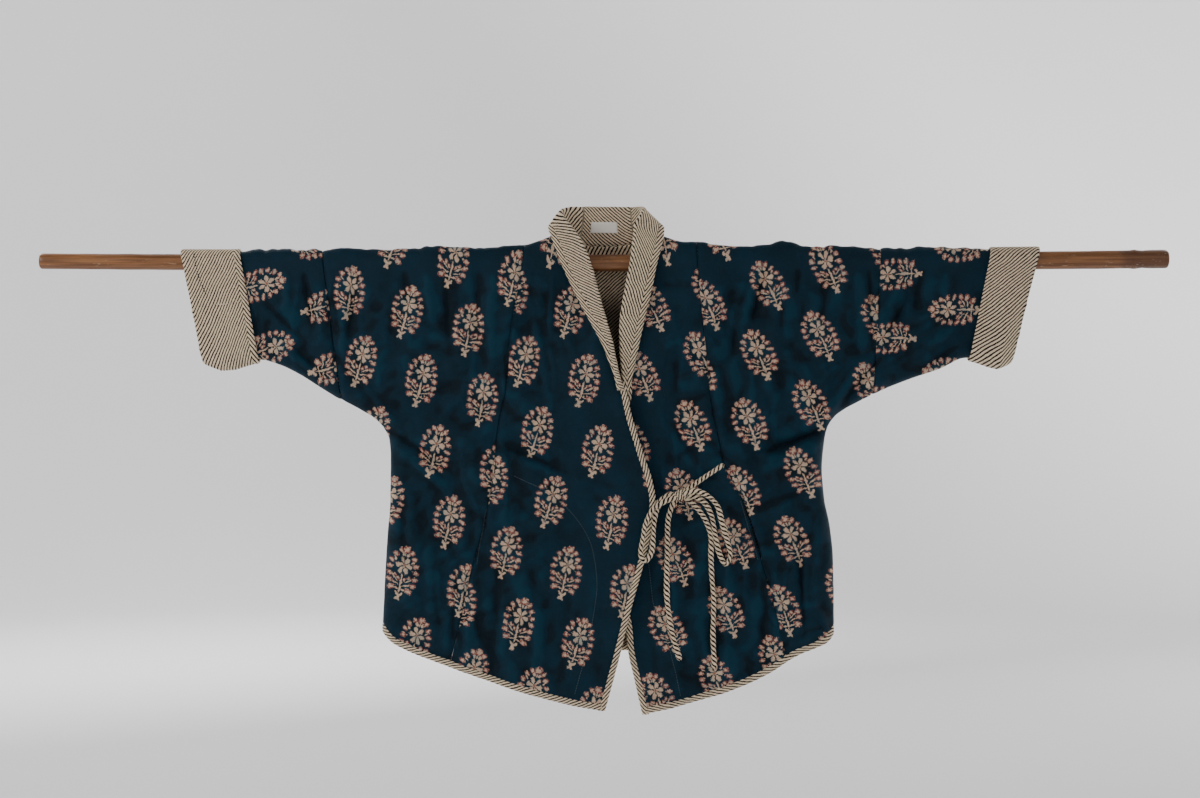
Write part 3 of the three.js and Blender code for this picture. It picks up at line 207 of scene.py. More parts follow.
COLLAR_CLEAR = {"roll": 6.5, "edge": WALL / 2 + COLLAR_BINDING_WALL / 2 + 2 * SEAM}
LABEL = {"width": 33, "height": 15, "thick": 0.7, "x": 1, "drop": 28}
KNOT = {"x": 102, "y": -30, "z": -312, "rx": 11, "ry": 5.5, "rz": 7.5, "tilt": 24}
TIES = {
    "tie_right": [(71.5, -31.6, -323), (78, -32.4, -317), (86, -31.8, -312.5), (98, -31, -311)],
    "tie_left": [(161, -20.6, -271), (146, -22, -281), (128, -24.4, -293), (104, -28, -310)],
    "bow_loop_right": [
        (97, -34.2, -312), (84, -36.4, -317), (72, -37.4, -327), (67, -36.6, -345), (65.5, -36, -368),
        (62.5, -36.4, -390), (54.5, -38.4, -400), (49, -40.2, -391), (52, -40.4, -368), (56, -40.8, -348),
        (66, -41.6, -330), (82, -40.2, -319.5), (98, -34.6, -315)],
    "bow_loop_left": [
        (104, -34, -311), (120, -34.4, -306.5), (137, -33.4, -312), (151, -32, -326), (158, -30.6, -350),
        (165, -29.6, -374), (169, -29, -393), (163, -27, -405), (155, -25, -392), (149, -24.6, -366),
        (144, -25, -340), (134, -26, -322), (118, -28, -313), (104, -29, -313)],
    "tie_tail_right": [
        (100, -29.5, -313), (91.5, -27.6, -326), (86, -24.6, -345), (85, -23.6, -368), (84.5, -23.4, -400),
        (84, -23.4, -430), (85, -23.4, -458), (92, -23.2, -500), (102, -23, -534)],
    "tie_tail_left": [
        (108, -25.4, -315), (122, -22.6, -327), (136, -21.4, -346), (143, -21.2, -368), (143.5, -21.6, -395),
        (144.5, -22, -422), (147, -22.6, -452), (146, -23, -498), (148, -23, -545)],
}

# ---------------------------------------------------------------- small mathematics


def mix(a, b, t):
    return a + (b - a) * t


def ease(a, b, v):
    t = np.clip((v - a) / (b - a), 0, 1)
    return t * t * (3 - 2 * t)


def bell(distance, reach):
    return np.exp(-((distance / reach) ** 2))


def unit(v):
    return v / np.maximum(np.linalg.norm(v, axis=-1, keepdims=True), 1e-9)


def smoothed(values, reach):
    """Running means of a row. reach is the number of neighbours on each side."""
    width = 2 * reach + 1
    return np.convolve(np.pad(values, reach, mode="edge"), np.ones(width) / width, "valid")


def look(rows, at):
    """A smooth value of a table's second column against its first, which runs steadily up or down."""
    key, value = np.array(rows, float).T
    if key[0] > key[-1]:
        key, value = key[::-1], value[::-1]
    at = np.clip(np.asarray(at, float), key[0], key[-1])
    i = np.clip(np.searchsorted(key, at, side="right") - 1, 0, len(key) - 2)
    slope = np.diff(value) / np.diff(key)
    tangent = np.empty(len(key))
    tangent[0], tangent[-1] = slope[0], slope[-1]
    before, after = slope[:-1], slope[1:]
    total = np.where(before + after == 0, 1, before + after)
    tangent[1:-1] = np.where(before * after <= 0, 0, 2 * before * after / total)
    span = key[i + 1] - key[i]
    t = (at - key[i]) / span
    t2, t3 = t * t, t * t * t
    return (value[i] * (2 * t3 - 3 * t2 + 1) + tangent[i] * span * (t3 - 2 * t2 + t)
            + value[i + 1] * (3 * t2 - 2 * t3) + tangent[i + 1] * span * (t3 - t2))


def to_segment(x, z, x1, z1, x2, z2):
    """Distance from points to a segment, and how far along it the nearest place is."""
    dx, dz = x2 - x1, z2 - z1
    t = np.clip(((x - x1) * dx + (z - z1) * dz) / (dx * dx + dz * dz), 0, 1)
    return np.hypot(x - x1 - t * dx, z - z1 - t * dz), t


def curve_at(points, t):
    """Points at t, from 0 to 1, of a centripetal curve through the given points."""
    points = np.asarray(points, float)
    first, last = 2 * points[0] - points[1], 2 * points[-1] - points[-2]
    p = np.concatenate([[first], points, [last]])
    place = np.asarray(t, float) * (len(points) - 1)
    i = np.clip(np.floor(place).astype(int), 0, len(points) - 2)
    w = (place - i)[..., None]
    a, b, c, d = p[i], p[i + 1], p[i + 2], p[i + 3]
    gap = [np.maximum(np.linalg.norm(q - r, axis=-1, keepdims=True), 1e-6) ** 0.5
           for q, r in ((b, a), (c, b), (d, c))]
    start = ((b - a) / gap[0] - (c - a) / (gap[0] + gap[1]) + (c - b) / gap[1]) * gap[1]
    end = ((c - b) / gap[1] - (d - b) / (gap[1] + gap[2]) + (d - c) / gap[2]) * gap[1]
    w2, w3 = w * w, w * w * w
    return b * (2 * w3 - 3 * w2 + 1) + start * (w3 - 2 * w2 + w) + c * (3 * w2 - 2 * w3) + end * (w3 - w2)


def even_points(points, count):
    """Evenly spaced points along a curve."""
    fine = curve_at(points, np.linspace(0, 1, 1500))
    arc = np.concatenate([[0], np.cumsum(np.linalg.norm(np.diff(fine, axis=0), axis=1))])
    at = np.linspace(0, arc[-1], count)
    return np.stack([np.interp(at, arc, fine[:, k]) for k in range(3)], axis=1)


def waves(x, z, size, seed):
    """Smooth seeded unevenness between about -1 and 1, whose swells are `size` across."""
    grid = np.random.default_rng(seed).uniform(-1, 1, (256, 256))
    u, v = np.asarray(x, float) / size, np.asarray(z, float) / size
    i, j = np.floor(u).astype(int), np.floor(v).astype(int)
    a, b = u - i, v - j
    a, b = a * a * a * (a * (6 * a - 15) + 10), b * b * b * (b * (6 * b - 15) + 10)
    i0, i1, j0, j1 = i % 256, (i + 1) % 256, j % 256, (j + 1) % 256
    top = mix(grid[i0, j0], grid[i1, j0], a)
    low = mix(grid[i0, j1], grid[i1, j1], a)
    return mix(top, low, b)


def wrinkles(x, z, seed):
    """Unevenness of hanging cloth: soft swells, finer ripples and small puckers."""
    bend = 9 * waves(x, z, 55, seed + 1)
    lean = 16 * waves(x, z, 90, seed + 4)
    swells = (3.0 * waves(x + bend, z * 0.6, 42, seed)
              + 2.0 * waves(x + z * 0.4, z * 0.7 - bend, 19, seed + 2)
              + 1.0 * waves(x - z * 0.5 + bend, z, 10, seed + 3))
    sharp = 1 - 2.6 * np.abs(waves(x + lean, z * 0.34, 24, seed + 5))
    cross = 1 - 2.6 * np.abs(waves(x * 0.6 + z * 0.5 + lean, z * 0.9 - x * 0.5, 30, seed + 6))
    return swells + 1.5 * np.maximum(sharp, -0.4) - 1.1 * np.maximum(cross, -0.3)


# ---------------------------------------------------------------- the skins

SLACK = 1.0  # room between the rod and the cloth before and behind it
NECK_MIDDLE = 2.0
RIPPLES_END = (488, 519)  # where the shoulder line's ripples stop, on the right and on the left
CREASE_WIDTH = 9  # narrower folds are creases, which stand out more
CREASE_GAIN = 2.4
SEEDS = {"right": 100, "left": 200, "back": 300}


def rod_z(x):
    return ROD_BOW * (x / ROD_HALF) ** 2 + ROD_TILT * x / ROD_HALF


def rod_radius(x):
    return mix(ROD_RADIUS[0], ROD_RADIUS[1], (x + ROD_HALF) / (2 * ROD_HALF))


def half_depth(x):
    return rod_radius(x) + SEAT + WALL / 2 + SLACK


def shoulder_rise(x, fine=True):
    rise = rod_radius(x) + SEAT + WALL / 2 + look(SHOULDER_LIFT, x)
    if not fine:
        return rise
    uneven = 1.7 * (1 + waves(x, 0 * x, 17, 41)) + 1.2 * (1 + waves(x, 0 * x, 8, 42))
    cuff = np.where(x < 0, *RIPPLES_END)
    return rise + uneven * ease(100, 135, np.abs(x - NECK_MIDDLE)) * ease(0, 20, cuff - np.abs(x))


SILHOUETTE = {
    half: [*UNDERARM[half][::-1][:-1], *[(x, z) for z, x in SIDE[half]], (SIDE[half][-1][1], -700)]
    for half in ("right", "left")
}


def inset(x, z):
    """How far points lie inside the closed seams of their half. Beyond the side seam it is below 0."""
    found = {}
    for half, line in SILHOUETTE.items():
        near = np.min([to_segment(x, z, *a, *b)[0] for a, b in zip(line, line[1:])], axis=0)
        level, side = np.array(SIDE[half][::-1], float).T
        past = (z < level[-1]) & (np.abs(x) > np.abs(np.interp(z, level, side)))
        found[half] = np.where(past, -near, near)
    return np.where(x < 0, found["right"], found["left"])


def ring_x(half, ring, z):
    x, slant = SLEEVE_RINGS[half][ring]
    return x + slant * (RING_TOP - z) / RING_DROP


def fold_rise(name, x, z, fine):
    """Rise of the folds of a skin, which end under the cuffs."""
    cuff = np.abs(np.where(x < 0, ring_x("right", "cuff", z), ring_x("left", "cuff", z)))
    rise = np.zeros(np.shape(x))
    for x1, z1, x2, z2, width, height in FOLDS[name] + (CREASES[name] if fine else []):
        distance, t = to_segment(x, z, x1, z1, x2, z2)
        if width < CREASE_WIDTH:
            fade = CREASE_GAIN * np.sin(np.pi * np.clip(0.04 + 0.92 * t, 0, 1)) ** 0.8
        else:
            fade = 0.35 + 0.65 * np.sin(np.pi * np.clip(0.12 + 0.76 * t, 0, 1))
        rise += height * fade * bell(distance, width)
    return rise * ease(cuff, cuff - 40, np.abs(x))


def depth(name, x, z, fine=True):
    """How far a skin stands from the plane of the seams. The right front laps over the left one."""
    rise = fold_rise(name, x, z, fine) * ease(0, -25, z)
    if name == "right":
        lap = ease(118, 16, look(FRONT_EDGE["right"], z) - x) * ease(-30, -132, z)
        calm = 1 - ease(-100, -30, x) * ease(-100, -140, z)
        swell = 4.5 * ease(0, -160, z) * ease(-420, -280, x) + lap * (11.5 - 5 * ease(-470, -600, z))
    elif name == "left":
        calm = ease(60, 105, x)
        swell = 3.5 * ease(0, -160, z) * ease(420, 280, x)
    else:
        calm = 1
        swell = (4 * ease(0, -220, z) * ease(420, 280, np.abs(x))
                 + 6 * ease(95, 40, np.abs(x - NECK_MIDDLE)) * ease(-160, 0, z))
    base = half_depth(x) + swell
    if not fine:
        return base + rise * calm
    ripple = wrinkles(x, z, SEEDS[name]) * ease(-6, -40, z) * (0.35 + 0.65 * calm)
    inner = ease(480, 440, np.abs(x))
    return base + rise * (0.3 + 0.7 * calm) + ripple * (0.35 + 0.65 * inner)


def missed(x, drop):
    """How far points of a seam lie inside the straight-sided outline, where the seam follows it."""
    short = inset(x, rod_z(x) - np.maximum(drop, 0))
    return short * ease(6.5, 4.5, short)


def skin(name, x, h, fine=True, short=0):
    """Points of a skin at x and drop h: from -WRAP on the shoulder line, 0 level with the rod's axis."""
    x, h = np.broadcast_arrays(np.asarray(x, float), np.asarray(h, float))
    face = 1 if name == "back" else -1
    turn = np.pi / 2 * (1 + np.minimum(h, 0) / WRAP)
    top_y = depth(name, x, rod_z(x), fine) * np.sin(turn)
    top_z = rod_z(x) + shoulder_rise(x, fine) * np.cos(turn)
    z = rod_z(x) - np.maximum(h, 0)
    away = inset(x, z)
    away = np.clip(away - short * np.clip(1 - away / ROLL_OVER, 0, 1), 0, ROLL_OVER)
    roll = np.sin(np.arccos(1 - away / ROLL_OVER))
    low_y = SEAM / 2 + (depth(name, x, z, fine) - SEAM / 2) * roll
    y = np.where(h < 0, np.maximum(top_y, SEAM / 2), low_y)
    return np.stack([x, face * y, np.where(h < 0, top_z, z)], axis=-1)


def skin_normal(name, x, h, fine=True):
    step = 0.6
    across = skin(name, x + step, h, fine) - skin(name, x - step, h, fine)
    down = skin(name, x, h + step, fine) - skin(name, x, h - step, fine)
    return unit(np.cross(across, down)) * (1 if name == "back" else -1)


# ---------------------------------------------------------------- meshes

RIM_RADIUS = 1.6
RELIEF = 4.0  # height of a fold whose back takes the full painted sheen, and whose hollow the darkest painted shade
collection = bpy.context.scene.collection


def grid_normals(mid, ring=False):
    """Normals of a grid of points, from its neighbours."""
    down = np.gradient(mid, axis=0)
    if ring:
        across = np.roll(mid, -1, axis=1) - np.roll(mid, 1, axis=1)
    else:
        across = np.gradient(mid, axis=1)
    return unit(np.cross(across, down))


def arc_along(mid, axis):
    """Distance run along one axis of a grid of points."""
    steps = np.linalg.norm(np.diff(mid, axis=axis), axis=-1)
    pad = [(0, 0), (0, 0)]
    pad[axis] = (1, 0)
    return np.pad(np.cumsum(steps, axis=axis), pad)


def rim(distance, radius=RIM_RADIUS):
    """The share of a wall's thickness that is left at a distance from its edge."""
    t = 1 - np.clip(distance / radius, 0, 1)
    return np.maximum(np.sqrt(1 - t * t), 0.1)


def edge_distances(mid, ring=False):
    """Distances from the first and last row and, unless it is a ring, the first and last column."""
    rows, columns = arc_along(mid, 0), arc_along(mid, 1)
    found = [rows, rows[-1:] - rows]
    if not ring:
        found += [columns, columns[:, -1:] - columns]
    return found


def dipped(mid, normal, distance, deep=1.15, reach=3.8):
    """Points drawn in towards a sewn seam, by their distance from it."""
    return mid - normal * (deep * bell(distance, reach))[..., None]


def mesh_object(name, points, faces, uvs, slots, materials):
    """An object from points in millimetres and faces. Each corner has a UV and each face a material."""
    mesh = bpy.data.meshes.new("look_" + name)
    mesh.from_pydata((np.asarray(points, float).reshape(-1, 3) * MM).tolist(), [], np.asarray(faces).tolist())
    layer = mesh.uv_layers.new(name="UVMap")
    layer.data.foreach_set("uv", (np.asarray(uvs, float) * MM).astype(np.float32).ravel())
    for material in materials:
        mesh.materials.append(material)
    mesh.polygons.foreach_set("material_index", np.asarray(slots, np.int32).ravel())
    mesh.polygons.foreach_set("use_smooth", np.full(len(mesh.polygons), True))
    mesh.update()
    thing = bpy.data.objects.new("look_" + name, mesh)
    collection.objects.link(thing)
    return thing


def creasing(rise):
    """Folds for the cloth's painted shade in their hollows and painted sheen on their backs, from -1 to 1:
    narrow ones count more than broad swells.
    """
    calm = rise
    for axis in (0, 1):
        calm = np.apply_along_axis(smoothed, axis, calm, 6)
    return np.clip((0.25 * rise + 1.7 * (rise - calm)) / RELIEF, -1, 1)


def shell(name, mid, normal, half, uv_out, uv_in, materials, ring=False, marks=None, inward=False):
    """A closed wall round a grid of points. half is half its thickness, uv_out and uv_in are grids of UVs.

    The outer face takes the first material, the inner one the last. marks are named values of the points.
    The grid is turned so that all faces point out of the wall, or with inward into it."""
    rows, columns = mid.shape[:2]
    marks = marks or {}
    half = np.broadcast_to(half, mid.shape[:2])
    if (np.sum(grid_normals(mid, ring) * normal) < 0) != inward:
        mid, normal, half, uv_out, uv_in = (v[::-1] for v in (mid, normal, half, uv_out, uv_in))
        marks = {key: value[::-1] for key, value in marks.items()}
    thick = normal * half[..., None]
    points = np.concatenate([(mid + thick).reshape(-1, 3), (mid - thick).reshape(-1, 3)])
    if ring:
        uv_out, uv_in = (np.concatenate([uv, 2 * uv[:, -1:] - uv[:, -2:-1]], axis=1)
                         for uv in (uv_out, uv_in))
    uv = np.stack([uv_out, uv_in])
    faces, corners, slots = [], [], []

    def add(cells, slot, rim_face=False):
        """Faces from the layer, row and column of their corners. A rim keeps the outer face's print."""
        cells = [np.broadcast_arrays(*cell) for cell in cells]
        index = [layer * rows * columns + i * columns + j % columns for layer, i, j in cells]
        faces.append(np.stack(index, axis=-1).reshape(-1, 4))
        found = [uv[0 if rim_face else layer, i, j] for layer, i, j in cells]
        corners.append(np.stack(found, axis=-2).reshape(-1, 4, 2))
        slots.append(np.full(len(faces[-1]), slot))

    end, side = rows - 1, columns - 1
    i, j = np.meshgrid(np.arange(end), np.arange(columns if ring else side), indexing="ij")
    k, line = j[0], i[:, 0]
    add([(0, i, j), (0, i, j + 1), (0, i + 1, j + 1), (0, i + 1, j)], 0)
    add([(1, i, j), (1, i + 1, j), (1, i + 1, j + 1), (1, i, j + 1)], len(materials) - 1)
    add([(0, 0, k), (1, 0, k), (1, 0, k + 1), (0, 0, k + 1)], 0, True)
    add([(0, end, k), (0, end, k + 1), (1, end, k + 1), (1, end, k)], 0, True)
    if not ring:
        add([(0, line, 0), (0, line + 1, 0), (1, line + 1, 0), (1, line, 0)], 0, True)
        add([(0, line, side), (1, line, side), (1, line + 1, side), (0, line + 1, side)], 0, True)
    thing = mesh_object(name, points, np.concatenate(faces), np.concatenate(corners), np.concatenate(slots),
                        materials)
    for key, value in marks.items():
        layer = thing.data.attributes.new(key, "FLOAT", "POINT")
        layer.data.foreach_set("value", np.tile(value.ravel(), 2).astype(np.float32))
    return thing


def closed_tube(name, grid, flat, material, order=(0, 1, 2, 3)):
    """A tube whose rows are rings, with a face on each end. flat holds its UVs, with one column more.

    order is the order of each face's corners: round the tube first, or along it."""
    rows, columns = grid.shape[:2]
    i, j = np.meshgrid(np.arange(rows - 1), np.arange(columns), indexing="ij")
    k = (j + 1) % columns
    index = [i * columns + j, i * columns + k, (i + 1) * columns + k, (i + 1) * columns + j]
    faces = np.stack(index, axis=-1).reshape(-1, 4)[:, order]
    uv = np.stack([flat[i, j], flat[i, j + 1], flat[i + 1, j + 1], flat[i + 1, j]], axis=-2)
    uv = uv.reshape(-1, 4, 2)[:, order]
    thing = mesh_object(name, grid, faces, uv, np.zeros(len(faces)), [material])
    work = bmesh.new()
    work.from_mesh(thing.data)
    work.verts.ensure_lookup_table()
    for first in (0, (rows - 1) * columns):
        work.faces.new([work.verts[first + place] for place in range(columns)])
    bmesh.ops.recalc_face_normals(work, faces=work.faces)
    work.to_mesh(thing.data)
    work.free()
    return thing


def turn_uv(a, b, degrees, origin=(0, 0), shift=(0, 0)):
    """Cloth coordinates a, b seen from axes turned by an angle about an origin."""
    s, c = math.sin(math.radians(degrees)), math.cos(math.radians(degrees))
    a, b = np.broadcast_arrays(np.asarray(a, float) - origin[0], np.asarray(b, float) - origin[1])
    return np.stack([a * c + b * s + shift[0], b * c - a * s + shift[1]], axis=-1)


# ---------------------------------------------------------------- materials

def srgb(red, green, blue):
    """A colour given as 0 to 255, in the shader's linear values."""
    def linear(v):
        v /= 255
        return v / 12.92 if v <= 0.04045 else ((v + 0.055) / 1.055) ** 2.4
    return (linear(red), linear(green), linear(blue), 1.0)


def times_colour(share, colour):
    return tuple(share * c for c in colour[:3]) + (1,)


class Shader:
    """A material's node tree, written as calls that return sockets."""

    def __init__(self, name):
        self.material = bpy.data.materials.new(name)
        self.material.use_nodes = True
        self.nodes, self.links = self.material.node_tree.nodes, self.material.node_tree.links
        self.nodes.clear()

    def node(self, kind, *inputs, **settings):
        made = self.nodes.new(kind)
        for key, value in settings.items():
            setattr(made, key, value)
        for place, value in enumerate(inputs):
            if value is not None:
                self.feed(made.inputs[place], value)
        return made

    def feed(self, socket, value):
        if isinstance(value, bpy.types.NodeSocket):
            self.links.new(value, socket)
        else:
            socket.default_value = value

    def math(self, operation, a, b=None, clamp=False):
        return self.node("ShaderNodeMath", a, b, operation=operation, use_clamp=clamp).outputs[0]

    def add(self, a, b):
        return self.math("ADD", a, b)

    def times(self, a, b):
        return self.math("MULTIPLY", a, b)

    def spread(self, value, size, middle=0.5):
        """A value counted from a middle, times a size."""
        return self.times(self.math("SUBTRACT", value, middle), size)

    def least(self, values):
        found = values[0]
        for value in values[1:]:
            found = self.math("MINIMUM", found, value)
        return found

    def vector(self, operation, a, b=None):
        made = self.node("ShaderNodeVectorMath", a, b, operation=operation)
        return made.outputs["Value" if operation == "LENGTH" else "Vector"]

    def scaled(self, a, factors):
        return self.vector("MULTIPLY", a, factors)

    def strewn(self, place, chance, size):
        """A place moved by chance, a colour, by up to half a size each way."""
        middle = self.vector("SUBTRACT", chance, (0.5, 0.5, 0.5))
        return self.vector("ADD", place, self.scaled(middle, (size, size, 0)))

    def parts(self, vector):
        return self.node("ShaderNodeSeparateXYZ", vector).outputs

    def joined(self, x, y, z=0.0):
        return self.node("ShaderNodeCombineXYZ", x, y, z).outputs[0]

    def noise(self, vector, scale=1.0, detail=2.0, rough=0.5, output="Fac"):
        made = self.node("ShaderNodeTexNoise")
        self.feed(made.inputs["Vector"], vector)
        made.inputs["Scale"].default_value = scale
        made.inputs["Detail"].default_value = detail
        made.inputs["Roughness"].default_value = rough
        return made.outputs[output]

    def smooth(self, value, low, high, start=0.0, end=1.0):
        made = self.node("ShaderNodeMapRange", value, low, high, start, end, interpolation_type="SMOOTHSTEP")
        return made.outputs[0]

    def blend(self, share, a, b):
        made = self.node("ShaderNodeMix", data_type="RGBA", blend_type="MIX")
        self.feed(made.inputs["Factor"], share)
        self.feed(made.inputs[6], a)
        self.feed(made.inputs[7], b)
        return made.outputs[2]

    def cloth_place(self):
        """The UV map in millimetres."""
        return self.scaled(self.node("ShaderNodeUVMap", uv_map="UVMap").outputs[0], (1000, 1000, 0))

    def object_place(self):
        return self.node("ShaderNodeTexCoord").outputs["Object"]

    def mark(self, name):
        return self.node("ShaderNodeAttribute", attribute_name=name).outputs["Fac"]

    def weave(self, place, close, far):
        """Warp and weft yarns, added up."""
        warp, weft = (self.scaled(place, factors) for factors in ((close, far, 0), (far, close, 0)))
        return self.add(self.noise(warp), self.noise(weft))

    def finish(self, colour, roughness, height=None, bump=0.0006, specular=0.35, coat=0.0):
        shader = self.node("ShaderNodeBsdfPrincipled")
        self.feed(shader.inputs["Base Color"], colour)
        self.feed(shader.inputs["Roughness"], roughness)
        shader.inputs["Specular IOR Level"].default_value = specular
        shader.inputs["Coat Weight"].default_value = coat
        if height is not None:
            relief = self.node("ShaderNodeBump")
            relief.inputs["Strength"].default_value = 1.0
            relief.inputs["Distance"].default_value = bump
            self.feed(relief.inputs["Height"], height)
            self.feed(shader.inputs["Normal"], relief.outputs[0])
        self.node("ShaderNodeOutputMaterial", shader.outputs[0])
        return self.material


CELL = 84.0  # spacing of the print's repeat
CELL_SKEW = 0.052
PRINT_WOBBLE = 7.4  # unevenness of the print's lines
# Each plant differs: its shift in millimetres and its turn in radians, from one end to the other.
PLANT_SHIFT = 4.0
PLANT_TURN = 0.16
# The printed plant, drawn on its right half: centre x, y, half width, half height, turn in degrees, red rim.
PLANT = [
    (0, 32.2, 5.2, 4.4, 0, 1), (2.8, 35.6, 1.5, 1.3, 0, 1), (0, 26.2, 0.9, 3.2, 0, 0),
    (4.6, 26.0, 2.0, 3.4, -38, 0), (8.6, 29.4, 4.0, 2.9, 40, 1), (14.6, 22.6, 4.3, 3.0, 22, 1),
    (18.4, 14.0, 4.3, 3.0, 10, 1), (19.6, 5.2, 4.3, 2.9, -2, 1), (13.4, 17.4, 2.8, 0.8, 40, 0),
    (15.6, 6.6, 2.2, 0.75, 6, 0),
    (19.0, -3.8, 4.6, 3.0, 22, 1), (17.8, -12.2, 4.9, 3.2, 4, 1), (13.4, -20.6, 5.4, 3.5, -18, 1),
    (11.0, -7.4, 6.8, 0.9, 36, 0), (9.0, -14.0, 6.2, 0.9, 18, 0), (5.4, -20.6, 4.6, 0.95, 0, 0),
    (10.4, -3.2, 3.0, 2.2, 30, 1), (5.0, -6.8, 1.9, 3.2, -24, 1), (9.8, -17.6, 1.9, 1.2, 30, 0),
    (0, -13.0, 1.45, 12.8, 0, 0), (3.4, -27.0, 3.0, 1.7, 36, 0), (0, -31.0, 2.2, 3.8, 0, 0),
    (2.2, -34.2, 1.9, 1.6, -30, 0),
]
FLOWER = {"y": 11.0, "heart": 1.7, "middle": 6.4, "length": 5.2, "angle": 0.36, "petals": 6}
PRINT = {
    "ground": srgb(3, 33, 47), "ground_light": srgb(5, 41, 57), "ground_yarn": srgb(20, 54, 68),
    "ground_painted_shade": srgb(2, 13, 20), "ground_painted_sheen": srgb(14, 60, 78), "halo": srgb(58, 80, 88),
    "motif": srgb(243, 214, 180), "motif_pink": srgb(230, 192, 162), "motif_grey": srgb(196, 186, 166),
    "red": srgb(150, 44, 38),
}
STRIPE_PERIOD = 3.6
ROD = {
    "dark": srgb(112, 70, 38), "light": srgb(158, 108, 64), "deep": srgb(78, 46, 26),
    "scratch": srgb(214, 186, 150),
}


def plant_places(s, place):
    """Places in one plant of the print: its own x and y, as seen from its middle line."""
    xyz = s.parts(s.strewn(place, s.noise(place, 0.24, 4.0, 0.7, "Color"), PRINT_WOBBLE))
    v = s.add(xyz[1], s.times(xyz[0], CELL_SKEW))
    row = s.math("FLOOR", s.math("DIVIDE", v, CELL))
    u = s.add(xyz[0], s.times(s.math("FLOORED_MODULO", row, 2.0), CELL / 2))
    column = s.math("FLOOR", s.math("DIVIDE", u, CELL))
    local = s.joined(*(s.math("SUBTRACT", s.math("FLOORED_MODULO", w, CELL), CELL / 2) for w in (u, v)))
    chance = s.node("ShaderNodeTexWhiteNoise", s.joined(column, row, 3.0), noise_dimensions="3D").outputs
    turned = s.node("ShaderNodeVectorRotate", rotation_type="Z_AXIS")
    s.feed(turned.inputs["Vector"], s.strewn(local, chance["Color"], PLANT_SHIFT))
    s.feed(turned.inputs["Angle"], s.spread(chance["Value"], PLANT_TURN))
    at = s.parts(turned.outputs[0])
    return at[0], s.add(at[1], s.times(at[0], 0.045))


def plant_forms(s, x, y):
    """Distances of the plant's forms, 1 at their edge: those without a red rim, those with one, the heart."""
    folded = s.math("ABSOLUTE", s.add(x, s.math("SINE", s.times(y, 0.085))))
    plant = s.joined(s.times(folded, 1.1), y)
    reaches = {0: [], 1: []}
    for px, py, rx, ry, degrees, red in PLANT:
        mapped = s.node("ShaderNodeMapping", plant, (px, py, 0), (0, 0, math.radians(degrees)), (rx, ry, 1),
                        vector_type="TEXTURE")
        reaches[red].append(s.vector("LENGTH", mapped.outputs[0]))
    fx, fy = s.times(x, 1.08), s.math("SUBTRACT", y, FLOWER["y"])
    radius = s.math("SQRT", s.add(s.times(fx, fx), s.times(fy, fy)))
    step = 2 * math.pi / FLOWER["petals"]
    swing = s.math("SUBTRACT", s.math("FLOORED_MODULO", s.math("ARCTAN2", fx, fy), step), step / 2)
    length = s.math("DIVIDE", s.math("SUBTRACT", radius, FLOWER["middle"]), FLOWER["length"])
    petal = s.vector("LENGTH", s.joined(length, s.math("DIVIDE", swing, FLOWER["angle"])))
    heart = s.math("DIVIDE", radius, FLOWER["heart"])
    return s.least([*reaches[0], petal, heart]), s.least(reaches[1]), heart


def print_material():
    s = Shader("printed_cotton")
    place = s.cloth_place()
    plain, rimmed, heart = plant_forms(s, *plant_places(s, place))
    grain = s.noise(place, 0.9, 4.0, 0.65)
    rough_edge = s.spread(grain, 1.15)
    whole = s.add(s.math("MINIMUM", plain, rimmed), rough_edge)
    border = s.add(rimmed, rough_edge)
    rim_red = s.times(s.smooth(border, 0.40, 0.70), s.smooth(border, 1.04, 1.16, 1.0, 0.0))
    red = s.times(rim_red, s.smooth(s.noise(place, 0.42), 0.38, 0.52, 0.0, 0.95))
    speck = s.smooth(s.noise(place, 0.75, 1.0), 0.63, 0.72, 0.0, 0.45)
    red = s.math("MAXIMUM", s.math("MAXIMUM", red, s.smooth(heart, 0.55, 1.0, 0.8, 0.0)), speck, clamp=True)
    motif = s.blend(s.smooth(s.noise(place, 0.16), 0.35, 0.7), PRINT["motif"], PRINT["motif_pink"])
    motif = s.blend(s.smooth(s.noise(place, 0.05), 0.45, 0.75), motif, PRINT["motif_grey"])
    motif = s.blend(red, motif, PRINT["red"])

    yarn = s.weave(place, 2.4, 0.10)
    # Painted shade darkens the ground in fold hollows and painted sheen lightens it on fold backs, by the
    # relief mark.
    fold = s.add(s.mark("relief"), s.spread(s.noise(place, 0.09, 3.0), 0.35))
    ground = s.blend(s.smooth(s.noise(place, 0.02, 3.0), 0.3, 0.7), PRINT["ground"], PRINT["ground_light"])
    ground = s.blend(s.smooth(fold, -0.05, -0.75, 0.0, 0.75), ground, PRINT["ground_painted_shade"])
    ground = s.blend(s.smooth(fold, 0.15, 1.0, 0.0, 0.45), ground, PRINT["ground_painted_sheen"])
    ground = s.blend(s.smooth(yarn, 1.0, 1.28, 0.0, 0.4), ground, PRINT["ground_yarn"])
    ground = s.blend(s.smooth(whole, 1.04, 1.32, 0.30, 0.0), ground, PRINT["halo"])
    cover = s.times(s.smooth(whole, 0.92, 1.10, 1.0, 0.0),
                    s.smooth(s.add(yarn, s.times(grain, 0.8)), 1.08, 1.34, 0.98, 0.72))
    height = s.add(s.times(yarn, 0.7), s.times(s.noise(place, 1.6, 3.0), 0.5))
    return s.finish(s.blend(cover, ground, motif), 0.60, height, specular=0.14)


